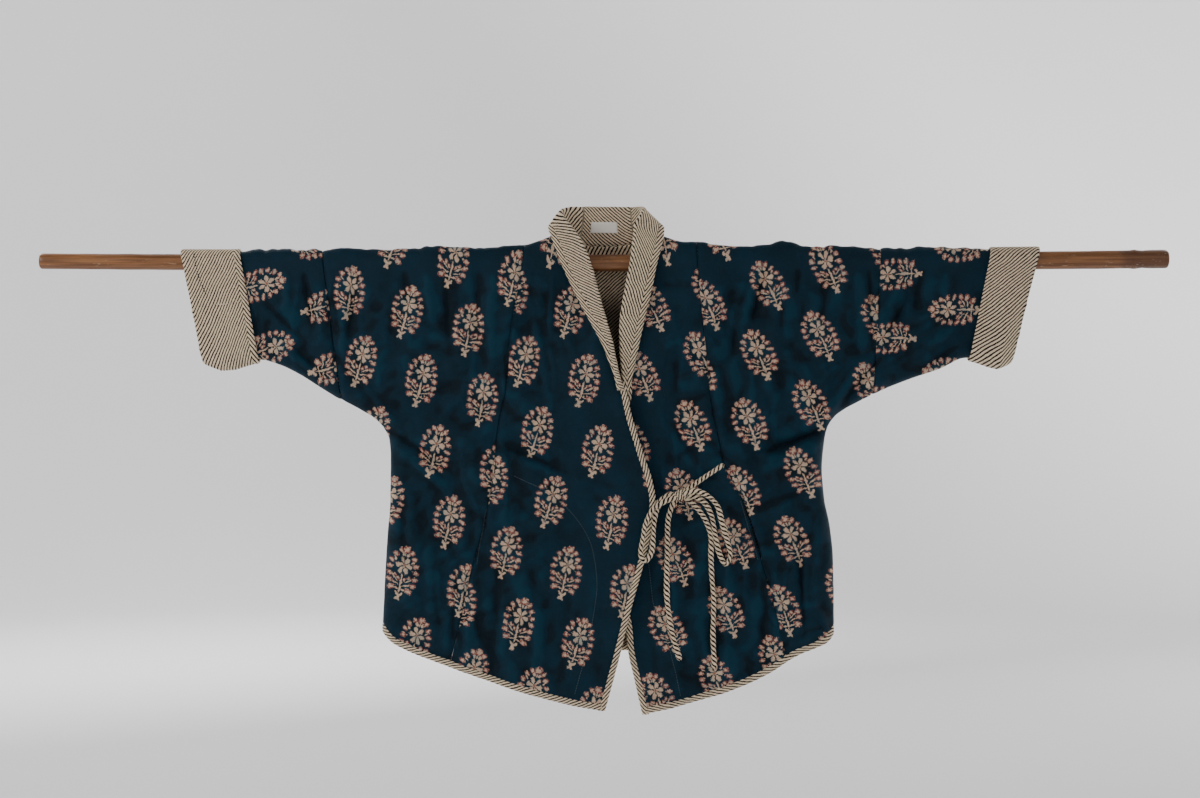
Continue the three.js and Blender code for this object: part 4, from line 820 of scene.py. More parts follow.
def stripe_material(name, cream, dark, lining_shade):
    s = Shader(name)
    place = s.cloth_place()
    wobble = s.add(s.spread(s.noise(place, 0.045), 2.6), s.spread(s.noise(place, 0.40), 0.9))
    xyz = s.parts(place)
    wave = s.math("PINGPONG", s.math("DIVIDE", s.add(xyz[1], wobble), STRIPE_PERIOD), 0.5)
    stitch = s.math("PINGPONG", s.math("DIVIDE", s.add(xyz[0], s.times(xyz[1], 0.6)), 1.1), 0.5)
    grain = s.noise(place, 1.3, 3.0)
    edge = s.add(s.add(wave, s.spread(grain, 0.22)), s.spread(stitch, 0.10, 0.25))
    line = s.smooth(edge, 0.25, 0.315)
    light = s.blend(s.smooth(s.noise(place, 0.5), 0.35, 0.65), cream, times_colour(0.80, cream))
    shade = s.blend(s.smooth(s.noise(place, 0.35), 0.45, 0.7), dark, times_colour(1.9, dark))
    # Painted shade: the back's lining is darkened towards lining_shade where the shade mark is set.
    colour = s.blend(s.times(s.mark("shade"), 0.72), s.blend(line, light, shade), lining_shade)
    height = s.add(s.times(line, -0.6), s.add(s.times(stitch, 0.8), s.times(grain, 0.6)))
    return s.finish(colour, 0.92, height, specular=0.12)


def rod_material():
    s = Shader("bamboo_wood")
    place = s.object_place()
    grain = s.noise(s.scaled(place, (9, 260, 260)), 1.0, 4.0, 0.6)
    patch = s.noise(s.scaled(place, (22, 60, 60)), 1.0, 3.0)
    scratch = s.noise(s.scaled(place, (70, 420, 420)), 1.0, 3.0, 0.7)
    worn = s.times(s.smooth(scratch, 0.60, 0.70), s.smooth(patch, 0.46, 0.60))
    far = s.smooth(s.add(s.parts(place)[0], s.times(patch, 0.02)), 0.700, 0.715)
    colour = s.blend(s.smooth(grain, 0.35, 0.68), ROD["dark"], ROD["light"])
    colour = s.blend(s.smooth(patch, 0.5, 0.8, 0.0, 0.5), colour, ROD["deep"])
    colour = s.blend(s.times(far, 0.55), colour, ROD["deep"])
    colour = s.blend(s.times(worn, 0.75), colour, ROD["scratch"])
    height = s.add(s.times(grain, 0.6), s.times(worn, -0.8))
    return s.finish(colour, s.smooth(scratch, 0.4, 0.7, 0.34, 0.62), height, specular=0.45, coat=0.12)


def thread_material(name, colour):
    s = Shader(name)
    twist = s.noise(s.scaled(s.object_place(), (1500, 1500, 1500)))
    tone = s.blend(s.smooth(twist, 0.3, 0.7), colour, times_colour(0.7, colour))
    return s.finish(tone, 0.8, twist, bump=0.0002, specular=0.25)


def label_material():
    s = Shader("label_cotton")
    yarn = s.weave(s.cloth_place(), 6.0, 0.5)
    tone = s.blend(s.smooth(yarn, 0.8, 1.2), srgb(255, 250, 240), srgb(246, 238, 224))
    return s.finish(tone, 0.75, yarn, bump=0.0003, specular=0.3)


print_cloth = print_material()
# the last colour is the painted shade of the back's lining
stripe_cloth = stripe_material("striped_cotton", srgb(255, 235, 202), srgb(40, 26, 18), srgb(26, 18, 13))
rod_wood = rod_material()
pale_thread = thread_material("pale_thread", srgb(92, 100, 102))
dark_thread = thread_material("dark_thread", srgb(40, 30, 28))
cream_thread = thread_material("cream_thread", srgb(230, 214, 190))
label_cloth = label_material()

# ---------------------------------------------------------------- pieces and what they say

made = {}


def keep(thing, slot, *nodes):
    """A finished piece: it rides on the part's body and stands for the named solids."""
    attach(thing, "root")
    if nodes:
        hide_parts(*nodes)
    made[thing.name] = thing


# ---------------------------------------------------------------- panels

# Distances of the columns near a panel's side: at a seam that closes towards the back, and at a plain one.
CLOSED = np.array([0, 0.3, 0.8, 1.5, 2.3, 3.2, 4.2, 5.4, 6.7, 8.1, 9.7, 11.4, 13.2, 15.2, 17.4])
PLAIN = np.array([0, 0.25, 0.6, 1.1, 1.8, 2.8, 4.2, 6.0, 8.4, 11.4])
WRAP_ROWS = np.array([0, 0.012, 0.035, 0.07, 0.12, 0.2, 0.3, 0.41, 0.53, 0.66, 0.8, 0.92])
BODY_DROPS = np.linspace(0, 440, 140)
HEM_SHARES = np.concatenate([np.linspace(0, 0.96, 36)[1:], [0.975, 0.987, 0.995, 1.0]])
NEAR = 0.04  # half the room left in a seam
SIDE_ROOM = 0.02  # what a panel's outer side leaves besides
TUCK = 1.0  # how far a panel runs into the binding over its edge
FIRST_Z = -200.0  # a height at which every panel has both its sides
WAY = {"right": 1, "left": -1}  # towards the middle of the body
# Print frame of each panel: turn in degrees of its grain, and the middle of one motif as x and height.
GRAIN = {
    "front_centre_right": (-15, (-8.1, -252.5)), "front_side_right": (-15, (-226.8, -252.5)),
    "front_centre_left": (19.8, (118.8, -218.7)), "front_side_left": (19.8, (207.9, -124.2)),
    "sleeve_right": (-79, (-462, -31)), "sleeve_left": (87, (471, -66)), "back": (0, (0, -250)),
}
LINING_TURN = {"right": -38, "left": -42, "back": 42, "sleeve": 35}  # the stripes' angle on the inner faces
LINING_PAINTED_SHADE = (-24, -70)  # heights between which the back's lining takes painted shade
MOUTH = {"right": (-408, -330, 0.1), "left": (-404, -318, 0.55)}  # lower end, upper end, half the opening


def hem_line(name, x):
    return look(HEM[name], x)


def hem_band(name, x):
    """The hem binding's width, measured straight up."""
    slope = np.clip((hem_line(name, x + 2) - hem_line(name, x - 2)) / 4, -1.2, 1.2)
    return BINDING_WIDTH * np.hypot(1, slope)


def outer_x(half, z):
    start_z, start_x = SIDE[half][0]
    seam = mix(SLEEVE_RINGS[half]["seam"][0], start_x, (RING_TOP - z) / (RING_TOP - start_z))
    return np.where(z > start_z, seam, look(SIDE[half], z))


def side_x(half, z):
    room = NEAR + SEAM * 1.2 * ease(-120, -170, z) * ease(-196, -186, z)
    return outer_x(half, z) + WAY[half] * (room + SIDE_ROOM)


def princess_x(half, toward, z):
    """A panel's side at the princess seam, less half the pocket mouth. toward is 1 for the middle panel."""
    low, high, gap = MOUTH[half]
    mouth = gap * ease(low - 12, low + 14, z) * ease(high + 12, high - 14, z)
    return look(PRINCESS[half], z) + toward * WAY[half] * (NEAR + mouth)


def inner_x(half, z):
    edge = look(FRONT_EDGE[half], z) - WAY[half] * (BINDING_WIDTH - TUCK)
    return mix(look(NECKLINE[half], z), edge, ease(BREAK_Z + 28, BREAK_Z, z))


def back_top(x):
    share = np.clip(np.abs(x - NECK_MIDDLE) / NECK_HALF, 0, 1)
    return mix(NECK_DROP[0], NECK_DROP[1], np.sqrt(1 - share ** 2.2))


def facing(side, normal):
    """Normals of a skin, turned to point out of the jacket."""
    return normal * np.sign((1 if side == "back" else -1) * np.sum(normal[..., 1]))


def panel(name, side, start, end, starts, ends, count, top=None, dips=(1, 1, 1, 0)):
    """A body panel between two sides given as functions of the height. starts and ends are the distances of
    the columns near each side, and count is how many lie between. dips says which edges are sewn seams:
    top, start, end and hem."""
    way = -1 if start(FIRST_Z) > end(FIRST_Z) else 1
    n, m = len(WRAP_ROWS), len(WRAP_ROWS) + len(BODY_DROPS)
    rows = m + len(HEM_SHARES)
    columns = len(starts) + count + len(ends)
    a, b = len(starts), columns - len(ends)
    x = np.tile(np.linspace(float(start(FIRST_Z)), float(end(FIRST_Z)), columns), (rows, 1))
    for _ in range(16):
        top_drop = top(x) if top else np.full_like(x, -WRAP)
        hem = hem_line(side, x) + hem_band(side, x) - TUCK
        drop = np.empty_like(x)
        drop[:n] = top_drop[:n] * (1 - WRAP_ROWS[:, None])
        drop[n:m] = BODY_DROPS[:, None]
        drop[m:] = mix(BODY_DROPS[-1], rod_z(x[m:]) - hem[m:], HEM_SHARES[:, None])
        high = rod_z(x) + shoulder_rise(x, False) * np.cos(np.pi / 2 * (1 + np.minimum(drop, 0) / WRAP))
        z = np.where(drop < 0, high, rod_z(x) - drop)
        target = np.empty_like(x)
        target[:, :a] = start(z[:, :a]) + way * starts
        target[:, b:] = end(z[:, b:]) - way * ends[::-1]
        low, far = start(z[:, a:b]) + way * starts[-1], end(z[:, a:b]) - way * ends[-1]
        target[:, a:b] = mix(low, far, np.arange(1, count + 1) / (count + 1))
        x = mix(x, target, 0.8)
    short = missed(x, drop)
    short = np.where(np.arange(columns) < columns / 2, short[:, :1], short[:, -1:])
    mid = skin(side, x, drop, True, short)
    normal = facing(side, grid_normals(mid))
    top_edge, hem_edge, start_edge, end_edge = edge_distances(mid)
    order = [top_edge, start_edge, end_edge, hem_edge]
    for sewn, distance in zip(dips, order):
        if sewn:
            mid = dipped(mid, normal, distance)
    # relief sets the painted shade in the folds' hollows and the painted sheen on their backs
    marks = {"relief": creasing(np.abs(mid[..., 1]) - np.abs(skin(side, x, drop, False, short)[..., 1]))}
    # the back's lining takes painted shade below the neck
    if side == "back":
        marks["shade"] = ease(*LINING_PAINTED_SHADE, mid[..., 2])
    half = WALL / 2 * np.minimum.reduce([rim(distance) for distance in order])
    turn, origin = GRAIN[name]
    outer = turn_uv(-x if side == "back" else x, -drop, turn, origin, (CELL / 2, CELL / 2))
    inner = turn_uv(x, -drop, LINING_TURN[side])
    keep(shell(name, mid, normal, half, outer, inner, [print_cloth, stripe_cloth], marks=marks, inward=True),
         "printed_cotton", name)


for half in ("right", "left"):
    panel(f"front_side_{half}", half, partial(side_x, half), partial(princess_x, half, -1), CLOSED, PLAIN, 62)
    panel(f"front_centre_{half}", half, partial(princess_x, half, 1), partial(inner_x, half), PLAIN, PLAIN,
          64, dips=(1, 1, 0, 0))
panel("back", "back", partial(side_x, "right"), partial(side_x, "left"), CLOSED, CLOSED, 160, top=back_top)

# ---------------------------------------------------------------- sleeves and cuffs

CUFF = {
    "right": {"start": 0.585, "sag": [1, 6, 13, 15, 10, 7], "main": 64, "strip": 128, "strip_half": 1.75},
    "left": {"start": 0.695, "sag": [1, 5, 11, 15, 11, 8], "main": 37, "strip": 37, "strip_half": 1.4},
}
CUFF_STEPS = [0, 0.2, 0.45, 0.7, 0.9, 1]
CUFF_STRIP = 8.0  # width of the cuff's narrow back edge
CUFF_OVER = 1.9  # how far the fold at the sleeve's end stands out
CUFF_OFF = WALL / 2 + CUFF_WALL / 2 + 0.7  # from the sleeve's middle surface to the cuff's
CUFF_ROWS = np.array([0.0, 0.003, 0.008, 0.015])
CUFF_FOLD = np.linspace(12, 180, 13)
SLEEVE_START = [0, 0.0015, 0.004, 0.008, 0.014, 0.022, 0.034, 0.05]
SLEEVE_SHARES = np.concatenate([SLEEVE_START, np.linspace(0.07, 0.97, 58), [0.978, 0.985]])


def sleeve_x(half, z, share):
    """x on the sleeve at a share of the way from its seam to its end."""
    return mix(outer_x(half, np.maximum(z, SIDE[half][0][0])), ring_x(half, "end", z), share)


def underarm_drop(half, share):
    z = np.full_like(share, float(UNDERARM[half][0][1]))
    for _ in range(20):
        z = mix(z, look(UNDERARM[half], sleeve_x(half, z, share)), 0.7)
    return rod_z(mix(outer_x(half, z), ring_x(half, "end", z), share)) - z


def sleeve_rings(half, shares, fine=True):
    """Rings of the sleeve, up the front and down the back, with their cloth coordinates."""
    share = np.asarray(shares, float)[:, None]
    bottom = underarm_drop(half, share)
    top = np.broadcast_to(np.linspace(-WRAP, 0, 10), (len(share), 10))
    turns = ROLL_OVER * 1.12 * (1 - np.cos(np.radians(np.linspace(88, 4, 13))))
    plain = (bottom - turns[0]) * np.linspace(0, 1, 50)[1:-1]
    drop = np.concatenate([top, plain, bottom - turns, bottom - 0.02], axis=1)
    z = np.where(drop < 0, RING_TOP * np.cos(np.pi / 2 * (1 + np.minimum(drop, 0) / WRAP)), -drop)
    x = sleeve_x(half, z, share) - np.where(share == 0, WAY[half] * NEAR, 0)
    short = missed(x, drop)[:, -1:]
    front, rear = skin(half, x, drop, fine, short), skin("back", x, drop, fine, short)
    mid = np.concatenate([front[:, ::-1], rear], axis=1)
    run = np.concatenate([-drop[:, ::-1], 2 * WRAP + drop], axis=1)
    return mid, np.concatenate([x[:, ::-1], x], axis=1), run


def outward(mid, normal):
    """Normals of a tube, turned to point out of it."""
    return normal * np.sign(np.sum(normal * (mid - mid.mean(axis=1, keepdims=True))))


def sleeve(half):
    name = f"sleeve_{half}"
    mid, x, run = sleeve_rings(half, SLEEVE_SHARES)
    calm = sleeve_rings(half, SLEEVE_SHARES, False)[0]
    # relief sets the painted shade in the folds' hollows and the painted sheen on their backs
    marks = {"relief": creasing(np.abs(mid[..., 1]) - np.abs(calm[..., 1]))}
    normal = outward(mid, grid_normals(mid, True))
    from_seam, from_end = edge_distances(mid, True)
    mid = dipped(mid, normal, from_seam)
    wall = WALL / 2 * np.minimum(rim(from_seam), rim(from_end))
    turn, origin = GRAIN[name]
    outer = turn_uv(x, run, turn, origin, (CELL / 2, CELL / 2))
    inner = turn_uv(x, run, LINING_TURN["sleeve"])
    keep(shell(name, mid, normal, wall, outer, inner, [print_cloth, stripe_cloth], True, marks),
         "printed_cotton", name)


def cuff_surface(half, steps, fold=()):
    """The turned-back cuff's middle surface at steps across it, and round the fold at its end."""
    facts = CUFF[half]
    angles = np.radians(np.asarray(fold, float))
    inn = (1 - np.cos(angles)) / 2
    shares = mix(facts["start"], 1, np.asarray(steps, float))
    base, x, run = sleeve_rings(half, np.concatenate([shares, [1.0]]), False)
    normal = outward(base, grid_normals(base, True))
    pick = np.concatenate([np.arange(len(steps)), np.full(len(fold), len(steps))]).astype(int)
    base, normal, x, run = base[pick], normal[pick], x[pick], run[pick]
    offs = np.concatenate([np.full(len(steps), CUFF_OFF), CUFF_OFF * (1 - inn)])[:, None, None]
    sags = np.concatenate([np.interp(steps, CUFF_STEPS, facts["sag"]), facts["sag"][-1] * (1 - inn)])[:, None]
    shifts = np.concatenate([np.zeros(len(steps)), -WAY[half] * CUFF_OVER * np.sin(angles)])[:, None]
    moved = base + normal * offs
    low = ease(-20, -125, base[..., 2])
    bulge = np.where(np.abs(normal[..., 2]) < 0.9, 1, 0.6)
    px, py, pz = moved[..., 0] + shifts, moved[..., 1] * (1 + 0.05 * low * bulge), moved[..., 2] - sags * low
    swell = 0.55 * waves(px + 0.3 * pz, pz, 13, 501) + 0.8 * waves(px, pz + py, 30, 502)
    if half == "left":
        slack = waves(px + 0.9 * pz, 0.4 * pz - 0.4 * px, 17, 506)
        swell = swell + 2.4 * np.maximum(slack, 0) * ease(60, 10, np.abs(pz + 75))
    mid = np.stack([px, py, pz], axis=-1)
    return mid + normal * (swell * ease(60, 0, np.abs(pz + 70)))[..., None], x, run


def cuff_piece(half, part, surface, thick, radius, degrees, turned_by=None):
    """One piece of a cuff. turned_by gives the angle of each of its rows round the fold."""
    mid, x, run = surface
    normal = outward(mid, grid_normals(mid, True))
    first, last = edge_distances(mid, True)
    wall = thick * np.minimum(rim(first, radius), rim(last, radius))
    if turned_by is not None:
        angle = np.radians(turned_by)[:, None, None]
        beyond = np.array([-float(WAY[half]), 0, 0])
        wanted = unit(mid - mid.mean(axis=1, keepdims=True)) * np.cos(angle) + beyond * np.sin(angle)
        normal = normal * np.where(np.sum(normal * wanted, axis=-1, keepdims=True) < 0, -1, 1)
    uv = turn_uv(x, run, degrees)
    keep(shell(part, mid, normal, wall, uv, uv, [stripe_cloth], True), "striped_cotton", f"cuff_{half}")


def cuff(half):
    facts = CUFF[half]
    probe, _, _ = cuff_surface(half, [0.0, 1.0])
    share = CUFF_STRIP / float(np.median(np.linalg.norm(probe[1] - probe[0], axis=-1)))
    steps = np.concatenate([share + CUFF_ROWS, np.linspace(share + 0.03, 1, 30)])
    cuff_piece(half, f"cuff_{half}", cuff_surface(half, steps, CUFF_FOLD), CUFF_WALL / 2, RIM_RADIUS,
               facts["main"], np.concatenate([np.zeros(len(steps)), CUFF_FOLD]))
    cuff_piece(half, f"cuff_strip_{half}", cuff_surface(half, np.linspace(-0.004, share + 0.006, 12)),
               facts["strip_half"], 2.6, facts["strip"])


for half in ("right", "left"):
    sleeve(half)
    cuff(half)

# ---------------------------------------------------------------- collar, its binding and the label

STATIONS = np.linspace(0, 1, 300)
MIDDLE = len(STATIONS) // 2
JOINS = (0.475, 0.578)  # where the neck piece meets the two fronts of the collar
COLLAR_TURNS = (59, -38, 26)  # the stripes' angle to the collar's run in its three pieces
COLLAR_RUN = 700  # about the collar's length
FOOT_ROOM = 0.5
LABEL_ROOM = 0.7
FOLD_ANGLES = np.radians(np.linspace(0, 180, 13))


def neck_point(on, at):
    if on == "back":
        return skin("back", at, back_top(at), False), skin_normal("back", at, back_top(at), False)
    x = float(look(NECKLINE[on], at))
    up = at - rod_z(x)
    turn = math.acos(np.clip(up / float(shoulder_rise(x, False)), -1, 1))
    drop = WRAP * (turn / (math.pi / 2) - 1) if up > 0 else -up
    return skin(on, x, drop, False), skin_normal(on, x, drop, False)


neck = [neck_point(row[0], row[1]) for row in COLLAR]
COLLAR_LINES = {
    "base": [p for p, _ in neck], "away": [n for _, n in neck],
    "roll": [row[2:5] for row in COLLAR], "edge": [row[5:8] for row in COLLAR],
}


def cloth_depth(side, x, z):
    return np.maximum(depth(side, x, z, False), depth(side, x, z))


def collar_line(column, t):
    x, y, z = np.moveaxis(curve_at(COLLAR_LINES[column], t), -1, 0)
    low = np.minimum(z, 0)
    under = np.where(t < 0.5, cloth_depth("right", x, low), cloth_depth("left", x, low))
    front = np.minimum(y, -(under + COLLAR_CLEAR[column]))
    return np.stack([x, np.where(z < 0, front, y), z], axis=-1)


def collar_feet(t):
    base, away = curve_at(COLLAR_LINES["base"], t), unit(curve_at(COLLAR_LINES["away"], t))
    stand = unit(collar_line("roll", t) - base)
    lean = np.linalg.norm(np.cross(away, stand), axis=-1, keepdims=True)
    return base + away * (WALL / 2 + SEAM + COLLAR_WALL / 2 * lean + FOOT_ROOM)


def collar_section(t, fall):
    """Sections at t: up the stand, round the roll and down the fall. fall gives the shares along the fall."""
    foot, roll, edge = collar_feet(t), collar_line("roll", t), collar_line("edge", t)
    radius = mix(COLLAR_TURN[0], COLLAR_TURN[1], ease(-6, 14, roll[:, 1]))[:, None]
    stand = unit(roll - foot)
    lean = np.sum((edge - roll) * stand, axis=-1, keepdims=True)
    out = unit(edge - roll - stand * lean)
    middle = roll + out * radius - stand * radius
    turn = [middle - out * radius * math.cos(a) + stand * radius * math.sin(a) for a in FOLD_ANGLES]
    rise = np.linspace(0, 1, 12)[:-1]
    points = [mix(foot, turn[0], s) - out * (1.2 * math.sin(math.pi * s)) for s in rise] + turn
    start, length = turn[-1], np.linalg.norm(edge - turn[-1], axis=-1, keepdims=True)
    over = unit(np.cross(edge - start, np.gradient(roll, axis=0)))
    for share in fall(length):
        bow = np.minimum(1.4, 0.05 * length) * np.sin(np.pi * np.clip(share, 0, 1))
        points.append(mix(start, edge, share) - over * bow)
    return np.stack(points, axis=1)


def bound_share(length):
    """The share of the fall at which its binding begins."""
    return 1 - np.minimum(BINDING_WIDTH, 0.7 * length) / length


def collar_uv(mid, ends, angles):
    """Cloth coordinates along and across the collar, turned by an angle in each piece of its run."""
    along = arc_along(mid, 0)[:, :1] * np.ones(mid.shape[1])
    across = arc_along(mid, 1)
    region = sum((STATIONS > end).astype(int) for end in ends)[:, None, None]
    return np.select([region == k for k in range(len(angles))], [turn_uv(along, across, a) for a in angles])


def collar():
    mid = collar_section(STATIONS, lambda length: [mix(0.0, bound_share(length) + 0.5 / length, s)
                                                   for s in np.linspace(0, 1, 13)[1:]])
    normal = grid_normals(mid)
    normal *= -np.sign(normal[MIDDLE, 4, 1])
    along = arc_along(mid, 0)[:, 20:21]
    for place in JOINS:
        mid = dipped(mid, normal, along - np.interp(place, STATIONS, along[:, 0]), 0.7, 2.0)
    mid = mid + normal * (0.45 * waves(mid[..., 0] + mid[..., 1], mid[..., 2], 12, 601))[..., None]
    half = COLLAR_WALL / 2 * np.minimum.reduce([rim(distance, 1.2) for distance in edge_distances(mid)])
    uv = collar_uv(mid, JOINS, COLLAR_TURNS)
    keep(shell("collar", mid, normal, half, uv, uv, [stripe_cloth]), "striped_cotton", "collar")


def collar_binding():
    columns = 9
    mid = collar_section(STATIONS, lambda length: [mix(bound_share(length) - 0.2 / length, 1.0, s)
                                                   for s in np.linspace(0, 1, columns)])[:, -columns:]
    normal = grid_normals(mid)
    normal *= -np.sign(np.sum(normal[10:40, :, 1]))
    bulge = np.sqrt(np.maximum(1 - np.abs(np.linspace(-1, 1, columns)) ** 3.2, 0.05))
    half = COLLAR_BINDING_WALL / 2 * bulge * rim(arc_along(mid, 0), 2)
    uv = collar_uv(mid, (0.5,), (19, -26))
    thing = shell("binding_collar", mid, normal, half, uv, uv, [stripe_cloth])
    keep(thing, "striped_cotton", "binding_collar")


def label():
    columns, rows = 22, 12
    x = LABEL["x"] + LABEL["width"] * (np.linspace(0, 1, columns) - 0.5)
    t = np.full(columns, 0.5)
    for _ in range(30):
        t = t + (x - collar_line("roll", t)[:, 0]) / COLLAR_RUN
    foot, roll = collar_feet(t), collar_line("roll", t)
    tall = np.linalg.norm(roll - foot, axis=-1, keepdims=True)
    drops = LABEL["drop"] + LABEL["height"] * (np.linspace(0, 1, rows) - 0.5)
    grid = np.stack([mix(foot, roll, 1 - drop / tall) for drop in drops])
    normal = grid_normals(grid)
    normal *= -np.sign(normal[5, 10, 1])
    grid = grid + normal * (COLLAR_WALL / 2 + SEAM + LABEL["thick"] / 2 + LABEL_ROOM)
    half = LABEL["thick"] / 2 * rim(np.minimum.reduce(edge_distances(grid)), 0.5)
    uv = np.stack([arc_along(grid, 1), -arc_along(grid, 0)], axis=-1)
    keep(shell("label", grid, normal, half, uv, uv, [label_cloth]), "label_cotton", "label")


collar()
collar_binding()
label()

# ---------------------------------------------------------------- bindings along the fronts and hems


def edge_binding(name, side, x, z, inward, degrees):
    """A rounded strip over an edge of a skin. x, z is its outer line, inward the step to its inner one."""
    share = np.linspace(0, 1, 11)
    px = x[:, None] + inward[0][:, None] * share
    pz = z[:, None] + inward[1][:, None] * share
    mid = skin(side, px, rod_z(px) - pz)
    normal = facing(side, grid_normals(mid))
    length = arc_along(mid, 0)
    half = BINDING_WALL / 2 * np.sqrt(np.maximum(1 - np.abs(2 * share - 1) ** 3.4, 0.04))
    half = half * np.minimum(rim(length, 2), rim(length[-1:] - length, 2))
    step = unit(np.stack([np.gradient(x), np.gradient(z)], axis=1))
    along = (inward[0] * step[:, 0] + inward[1] * step[:, 1])[:, None] * share
    across = np.abs(inward[0] * step[:, 1] - inward[1] * step[:, 0])[:, None] * share
    uv = turn_uv(length[:, :1] + along, across, degrees)
    keep(shell(name, mid, normal, half, uv, uv, [stripe_cloth]), "striped_cotton", name)


HEM_END = {half: float(look(SIDE[half], -496)) + WAY[half] * 1.2 for half in ("right", "left")}
HEM_CORNER = {half: float(look(FRONT_EDGE[half], z)) - WAY[half] * (3 * SEAM + 3)
              for half, z in (("right", -598), ("left", -602))}


def hem_binding(name, start, end, degrees):
    x = mix(start, end, 0.5 - 0.5 * np.cos(np.linspace(0, math.pi, 150)))
    edge_binding(f"binding_hem_{name}", name, x, hem_line(name, x), (0 * x, hem_band(name, x)), degrees)


def front_binding(half, degrees):
    bottom = float(hem_line(half, look(FRONT_EDGE[half], -600))) + 0.3
    z = np.linspace(BREAK_Z + 12, bottom, 190)
    inward = (np.full_like(z, -WAY[half] * BINDING_WIDTH), 0 * z)
    edge_binding(f"binding_front_{half}", half, look(FRONT_EDGE[half], z), z, inward, degrees)


front_binding("right", 30)
front_binding("left", 30)
hem_binding("right", HEM_END["right"], HEM_CORNER["right"], 32)
hem_binding("left", HEM_CORNER["left"], HEM_END["left"], -24)
hem_binding("back", HEM_END["right"], HEM_END["left"], 34)

# ---------------------------------------------------------------- ties and the bow

TIE_HALF = 0.85  # half the thickness of a tie
TIE_CLEAR = 1.3  # from the cloth's face to a tie's middle line
TIE_STEP = 2.5


def rounded(values, power):
    return np.sign(values) * np.abs(values) ** power


def tie(name, points, seed):
    """A folded strip along a curve, kept in front of the cloth. It returns its middle line."""
    length = np.sum(np.linalg.norm(np.diff(curve_at(points, np.linspace(0, 1, 400)), axis=0), axis=1))
    count = max(24, int(length / TIE_STEP))
    line = even_points(points, count)
    x, z = line[:, 0], line[:, 2]
    under = np.where(x < look(FRONT_EDGE["right"], z) + 3, depth("right", x, z), depth("left", x, z))
    line[:, 1] = np.minimum(line[:, 1], -smoothed(under + WALL / 2 + TIE_CLEAR, 3))
    along = unit(np.gradient(line, axis=0))
    side = unit(np.cross(along, np.array([0, -1.0, 0])))
    normal = unit(np.cross(side, along))
    around = np.linspace(0, 2 * math.pi, 19)[:-1]
    run = np.linspace(0, length, count)
    uneven = 0.14 * waves(run, 0 * run, 22, seed) + 0.05 * waves(run, 0 * run, 8, seed + 1)
    width = TIE_WIDTH / 2 * (1 + uneven)
    thick = TIE_HALF * (1 + 0.15 * waves(run, 0 * run, 7, seed + 2))
    taper = np.minimum(1, np.minimum(run, length - run) / 1.2 + 0.35)
    across, out = rounded(np.cos(around), 0.7), rounded(np.sin(around), 0.45)
    tube = (line[:, None] + side[:, None] * (across * (width * taper)[:, None])[..., None]
            + normal[:, None] * (out * (thick * taper)[:, None])[..., None])
    flat = turn_uv(run[:, None], np.linspace(0, 2 * TIE_WIDTH, len(around) + 1), 32)
    keep(closed_tube(name, tube, flat, stripe_cloth, (0, 3, 2, 1)), "striped_cotton", name)
    return line


tie_lines = {name: tie(name, points, 700 + 10 * k) for k, (name, points) in enumerate(TIES.items())}


def bow_knot():
    """The knot: a bulged wrap of the tie with two grooves between its turns."""
    rows, columns = 40, 48
    lat = np.linspace(-math.pi / 2 + 0.02, math.pi / 2 - 0.02, rows)[:, None]
    lon = np.linspace(0, 2 * math.pi, columns + 1)[:-1][None, :]
    u = np.sin(lat) * np.ones_like(lon)  # along the knot's long axis
    groove = bell(u - 0.30 - 0.16 * np.sin(lon), 0.09) + bell(u + 0.36 - 0.14 * np.sin(lon + 1), 0.09)
    swell = np.cos(lat) ** 0.8 * (1 - 0.16 * groove)
    s, c = math.sin(math.radians(KNOT["tilt"])), math.cos(math.radians(KNOT["tilt"]))
    long, wide = KNOT["rx"] * u, KNOT["rz"] * swell * np.sin(lon)
    x, z = KNOT["x"] + long * c - wide * s, KNOT["z"] + long * s + wide * c
    grid = np.stack([x, KNOT["y"] - KNOT["ry"] * swell * np.cos(lon), z], axis=-1)
    flat = turn_uv(long[:, :1], np.linspace(0, 46, columns + 1), 62)
    keep(closed_tube("bow_knot", grid, flat, stripe_cloth), "striped_cotton", "bow_knot")


bow_knot()

# ---------------------------------------------------------------- stitches


def stitches(name, paths, material, slot, length=2.6, gap=0.9, width=0.42, high=0.28):
    """Rows of small sewn stitches. Each path is a line of points with the way out of the cloth at each."""
    sides, rings = 6, 5
    around = np.linspace(0, 2 * math.pi, sides + 1)[:-1]
    full = np.array([0.25, 0.9, 1, 0.9, 0.25])[:, None, None]
    lift = np.array([-0.16, 0.06, 0.12, 0.06, -0.16])[:, None]
    one = [[i * sides + j, i * sides + k, (i + 1) * sides + k, (i + 1) * sides + j]
           for i in range(rings - 1) for j, k in zip(range(sides), [*range(1, sides), 0])]
    one += [[5, 4, 1, 0], [4, 3, 2, 1], [24, 25, 28, 29], [25, 26, 27, 28]]
    points = []
    for line, out in paths:
        run = np.concatenate([[0], np.cumsum(np.linalg.norm(np.diff(line, axis=0), axis=1))])
        for start in np.arange(0.4, run[-1] - length, length + gap):
            at = start + length * np.array([0, 0.18, 0.5, 0.82, 1])
            centre = np.stack([np.interp(at, run, line[:, k]) for k in range(3)], axis=1)
            normal = unit(np.stack([np.interp(at, run, out[:, k]) for k in range(3)], axis=1))
            side = unit(np.cross(unit(np.gradient(centre, axis=0)), normal))
            wide, tall = np.cos(around)[:, None] * width * full, np.sin(around)[:, None] * high * full
            ring = (centre + normal * lift)[:, None] + side[:, None] * wide + normal[:, None] * tall
            points.append(ring.reshape(-1, 3))
    faces = np.concatenate([np.array(one) + k * sides * rings for k in range(len(points))])
    uv = np.zeros((len(faces), 4, 2))
    keep(mesh_object(name, np.concatenate(points), faces, uv, np.zeros(len(faces)), [material]), slot)


